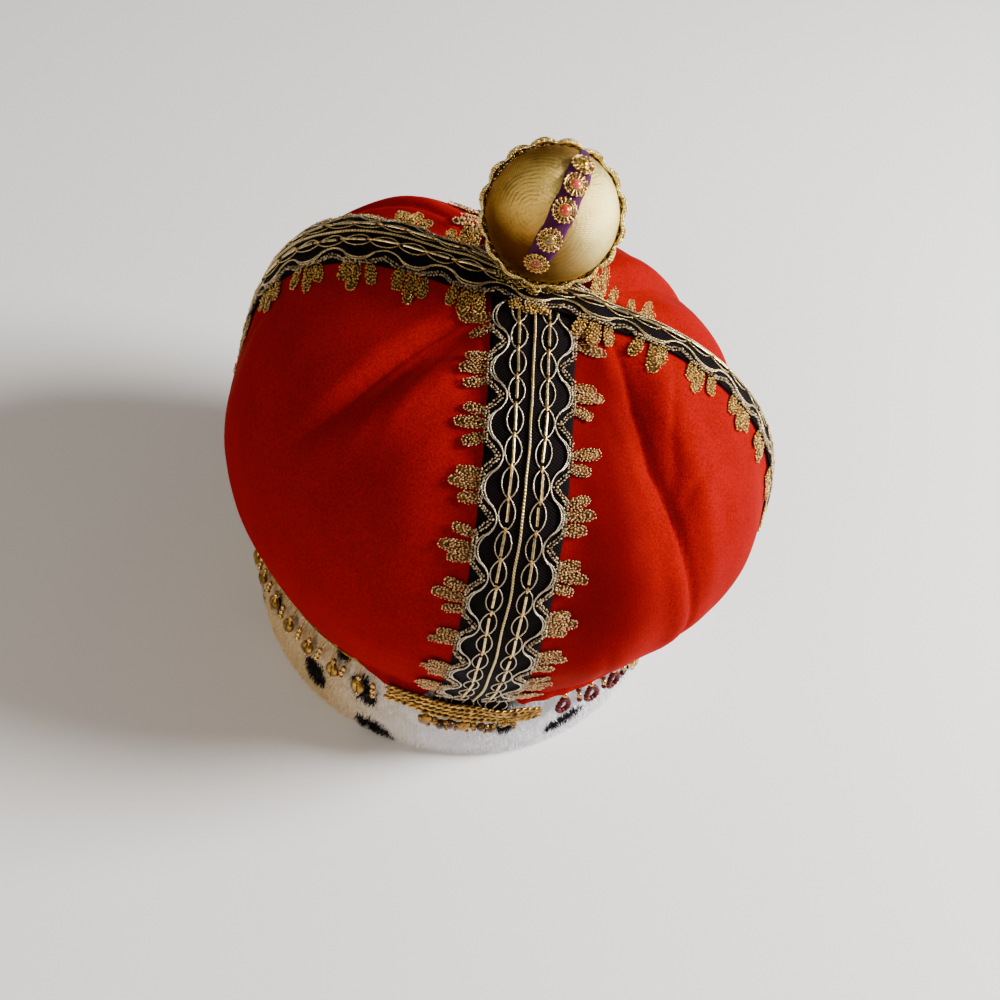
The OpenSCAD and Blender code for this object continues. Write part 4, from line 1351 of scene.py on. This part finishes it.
def crest_drop_shape(k):
    """One drop under the crest with the beads round it."""
    az, low, kind = CREST_DROPS[k]
    x, z = math.radians(az) * FRINGE_R, BAND_H - low
    shape = Shape()
    for form, size, slot, places in DROP_BEADS[kind]:
        shape.strew(form, np.array(places) + [x, 0, z], size, slot=slot)
    if kind == "leaf":
        blade = shape.points[0]
        blade[:, 0] += 0.5 * np.sin((blade[:, 2] - z) * 0.5)
        vein = np.linspace(-3.6, 3.4, 8)
        path = stack(x + 0.5 * np.sin((vein - 0.4) * 0.5), 2.35 - 0.04 * vein**2, z - 0.4 + vein)
        shape.cord(path, 0.3, slot=GILT)
    shape.strew(SMALL_BALL, [[x + 4.3, 0.9, z - 0.6 - 0.5 * (k % 2)]], 1.5, slot=DROP)
    shape.strew(SMALL_BALL, [[x + 4.6, 1.2, z - 2.9], [x + 3.9, 1.2, z + 1.7]], 1.15, slot=GILT)
    return shape


class CROWN_OT_crest(bpy.types.Operator):
    """Make the crest of bullion cords with its drops"""
    bl_idname = "crown.crest"
    bl_label = "Crest"

    def execute(self, context):
        bullion = glinting_metal("bullion_gold", (0.09, 0.036, 0.004), (0.72, 0.42, 0.10), 0.26, 260.0)
        gold = glinting_metal("crest_bead_gold", (0.11, 0.045, 0.006), (0.48, 0.26, 0.045), 0.22, 500.0)
        amber = glinting_metal("amber_glass", (0.06, 0.024, 0.002), (0.34, 0.16, 0.022), 0.2, 420.0)
        brown = polished_stone("brown_bead", (0.085, 0.030, 0.004), 0.12)
        crest = crest_shape()
        crest.bend(round_band)
        dress(crest, "crest_cords", [bullion, bpy.data.materials["painted_shade_ground"]], "bead_gold", "front_crest")
        for k, (_, _, kind) in enumerate(CREST_DROPS):
            drop = crest_drop_shape(k)
            drop.bend(round_band)
            dress(drop, f"crest_drop_{k + 1}", [amber if kind == "leaf" else brown, gold],
                  "glass_amber", f"crest_stone_{k + 1}")
        return {"FINISHED"}


GARNET, AMBER, GOLD, DARK = 0, 1, 2, 3
# The fringe leaves this many degrees free on each side of the front, and is made in eight parts.
FRINGE_FROM, PARTS, STRANDS = 23, 8, 10
BEAD = 1.42
# The one bright drop among the garnet loops: its eighth of the fringe, and its strand.
ODD_DROP = (0, 6)


def fringe_shape(part):
    """One eighth of the fringe: drops and strands of three beads in turn, hung from a header."""
    shape = Shape()
    rng = np.random.default_rng(60 + part)
    share = (360 - 2 * FRINGE_FROM) / PARTS
    first = FRINGE_FROM + part * share
    header_z = FRINGE_Z + 2.4
    x = np.radians(np.arange(first + 0.3, first + share - 0.3, 0.62)) * FRINGE_R
    shape.cord(stack(x, -3.4, header_z), 0.4, slot=AMBER)
    right = part < PARTS // 2
    start = 1.4 if right else 4.0

    for i in range(STRANDS):
        x0, lean = math.radians(first + (i + 0.5) * share / STRANDS) * FRINGE_R, rng.uniform(-0.15, 0.15)

        def hung(down, across=0.0):
            """Points of the strand, which stands out from the seam on the swell of the fur."""
            down = np.asarray(down, float)
            return stack(x0 + across + lean * down, -2.2 + 3.6 * (1 - np.exp(-down / 6.0)), FRINGE_Z - down)

        def bead(places, slot, size=BEAD):
            shape.strew(SMALL_BALL, places, size, slot=slot)

        shape.cord(np.concatenate([[[x0, -3.4, header_z]], hung([0.0, start])]), 0.18, 4, AMBER, up=(0, 1, 0))
        if i % 2:
            beads = hung(start + 3.05 * np.arange(3))
            bead(beads[[1]] if right else beads, GOLD)
            if right:
                bead(beads[[0, 2]], GARNET)
            continue
        bead(hung([start]), GOLD)
        odd_drop = (part, i) == ODD_DROP
        if right and not odd_drop:
            long, wide = rng.uniform(8.0, 9.0), rng.uniform(5.4, 6.2)
            t = (np.arange(13) + 0.5) / 13 * 2 * np.pi
            drop = long * 0.5 * (1 - np.cos(t))
            across = wide * 0.5 * np.sin(t) * (0.55 + 0.75 * drop / long)
            bead(hung(start + 1.5 + drop, across), GARNET)
            low = start + long + 3.0
        else:
            long, u = rng.uniform(8.0, 9.2), np.linspace(0, 1, 9)
            for k in (-1, 1):
                path = hung(start + 1.0 + long * u, 1.5 * k * np.sin(np.pi * u))
                size = 0.4 + 1.4 * np.sin(np.pi * u) ** 0.7
                shape.cord(path, size, 8, GOLD if odd_drop else AMBER, up=(0, 1, 0))
            # A dark line down the drop's face: painted shade in its slit.
            slit = hung(start + 1.0 + long * np.linspace(0.15, 0.85, 5)) + [0, 0.95, 0]
            shape.cord(slit, 0.32, slot=DARK, up=(0, 1, 0))
            low = start + long + 1.6
        bead(hung([low]), GOLD, 1.15)
    return shape


class CROWN_OT_fringe(bpy.types.Operator):
    """Make the bead fringe round the seam"""
    bl_idname = "crown.fringe"
    bl_label = "Bead fringe"

    def execute(self, context):
        garnet = polished_stone("garnet_bead", (0.085, 0.0008, 0.0020), 0.04, 0.2)
        amber = glinting_metal("amber_bead", (0.12, 0.05, 0.005), (0.50, 0.28, 0.045), 0.25, 420.0)
        gold = glinting_metal("seed_bead_gold", (0.26, 0.12, 0.02), (0.96, 0.63, 0.22), 0.16, 900.0)
        materials = [garnet, amber, gold, bpy.data.materials["painted_shade_ground"]]
        for part in range(PARTS):
            shape = fringe_shape(part)
            shape.bend(round_band)
            dress(shape, f"fringe_beads_{part + 1}", materials, "bead_gold", f"fringe_{part + 1}")
        return {"FINISHED"}


# Half the picture's width and the camera's focal length, both in the photo's pixels.
HALF_WIDTH, FOCAL = 500, 1270


class CROWN_OT_stage(bpy.types.Operator):
    """Make the floor, the lights and the camera"""
    bl_idname = "crown.stage"
    bl_label = "Stage"

    def execute(self, context):
        half = 4000
        shape = Shape()
        shape.add([[-half, -half, 0], [half, -half, 0], [half, half, 0], [-half, half, 0]], [[0, 1, 2, 3]])
        floor = shape.build("floor", [floor_paper()])
        world = bpy.data.worlds.new("studio")
        context.scene.world = world
        world.use_nodes = True
        world.node_tree.nodes["Background"].inputs["Color"].default_value = (1.0, 1.0, 1.0, 1)
        world.node_tree.nodes["Background"].inputs["Strength"].default_value = 0.22
        for name, place, size, energy, colour in (
            ("key", (1.15, 0.0, 0.95), 0.55, 62.0, (1.0, 0.97, 0.94)),
            ("front_fill", (-0.8, -0.9, 0.9), 0.7, 7.5, (1.0, 0.80, 0.56)),
        ):
            light = bpy.data.lights.new(name, "AREA")
            light.shape, light.size, light.energy, light.color = "DISK", size, energy, colour
            lamp = bpy.data.objects.new(name, light)
            lamp.location = place
            lamp.rotation_euler = (Vector((0, 0, 0.1)) - Vector(place)).to_track_quat("-Z", "Y").to_euler()
            context.scene.collection.objects.link(lamp)
        lens = bpy.data.cameras.new("camera")
        lens.sensor_fit = "HORIZONTAL"
        lens.angle = 2 * math.atan(HALF_WIDTH / FOCAL)
        camera = bpy.data.objects.new("camera", lens)
        right = Vector((0.98663742, -0.00408249, 0.1628801))
        up = Vector((-0.09709112, 0.78807302, 0.60787682))
        ahead = Vector((0.13084307, 0.61556823, -0.77714596))
        pose = Matrix((right, up, -ahead)).transposed().to_4x4()
        pose.translation = Vector((-0.06800584, -0.36934094, 0.53728758))
        camera.matrix_world = pose
        context.scene.collection.objects.link(camera)
        context.scene.camera = camera
        return {"FINISHED"}


class CROWN_PT_panel(bpy.types.Panel):
    """Sizes and colours of the crown, and a button for each of its pieces"""
    bl_idname = "CROWN_PT_panel"
    bl_label = "Costume Crown"
    bl_space_type = "VIEW_3D"
    bl_region_type = "UI"
    bl_category = "Crown"

    def draw(self, context):
        settings = context.scene.crown
        for name in CrownSettings.__annotations__:
            self.layout.prop(settings, name)
        for operator in OPERATORS:
            self.layout.operator(operator.bl_idname)


OPERATORS = (CROWN_OT_stage, CROWN_OT_cap, CROWN_OT_fur, CROWN_OT_straps, CROWN_OT_orb,
             CROWN_OT_crest, CROWN_OT_fringe)
CLASSES = (CrownSettings, *OPERATORS, CROWN_PT_panel)


def register():
    for item in CLASSES:
        bpy.utils.register_class(item)
    bpy.types.Scene.crown = PointerProperty(type=CrownSettings)


def unregister():
    del bpy.types.Scene.crown
    for item in reversed(CLASSES):
        bpy.utils.unregister_class(item)


def main():
    register()
    for make in (mottle_group, weave_group, twist_group):
        make()
    bpy.ops.crown.stage()
    bpy.ops.crown.cap()
    bpy.ops.crown.fur()
    bpy.ops.crown.straps()
    bpy.ops.crown.orb()
    bpy.ops.crown.crest()
    bpy.ops.crown.fringe()


if __name__ == "__main__":
    main()
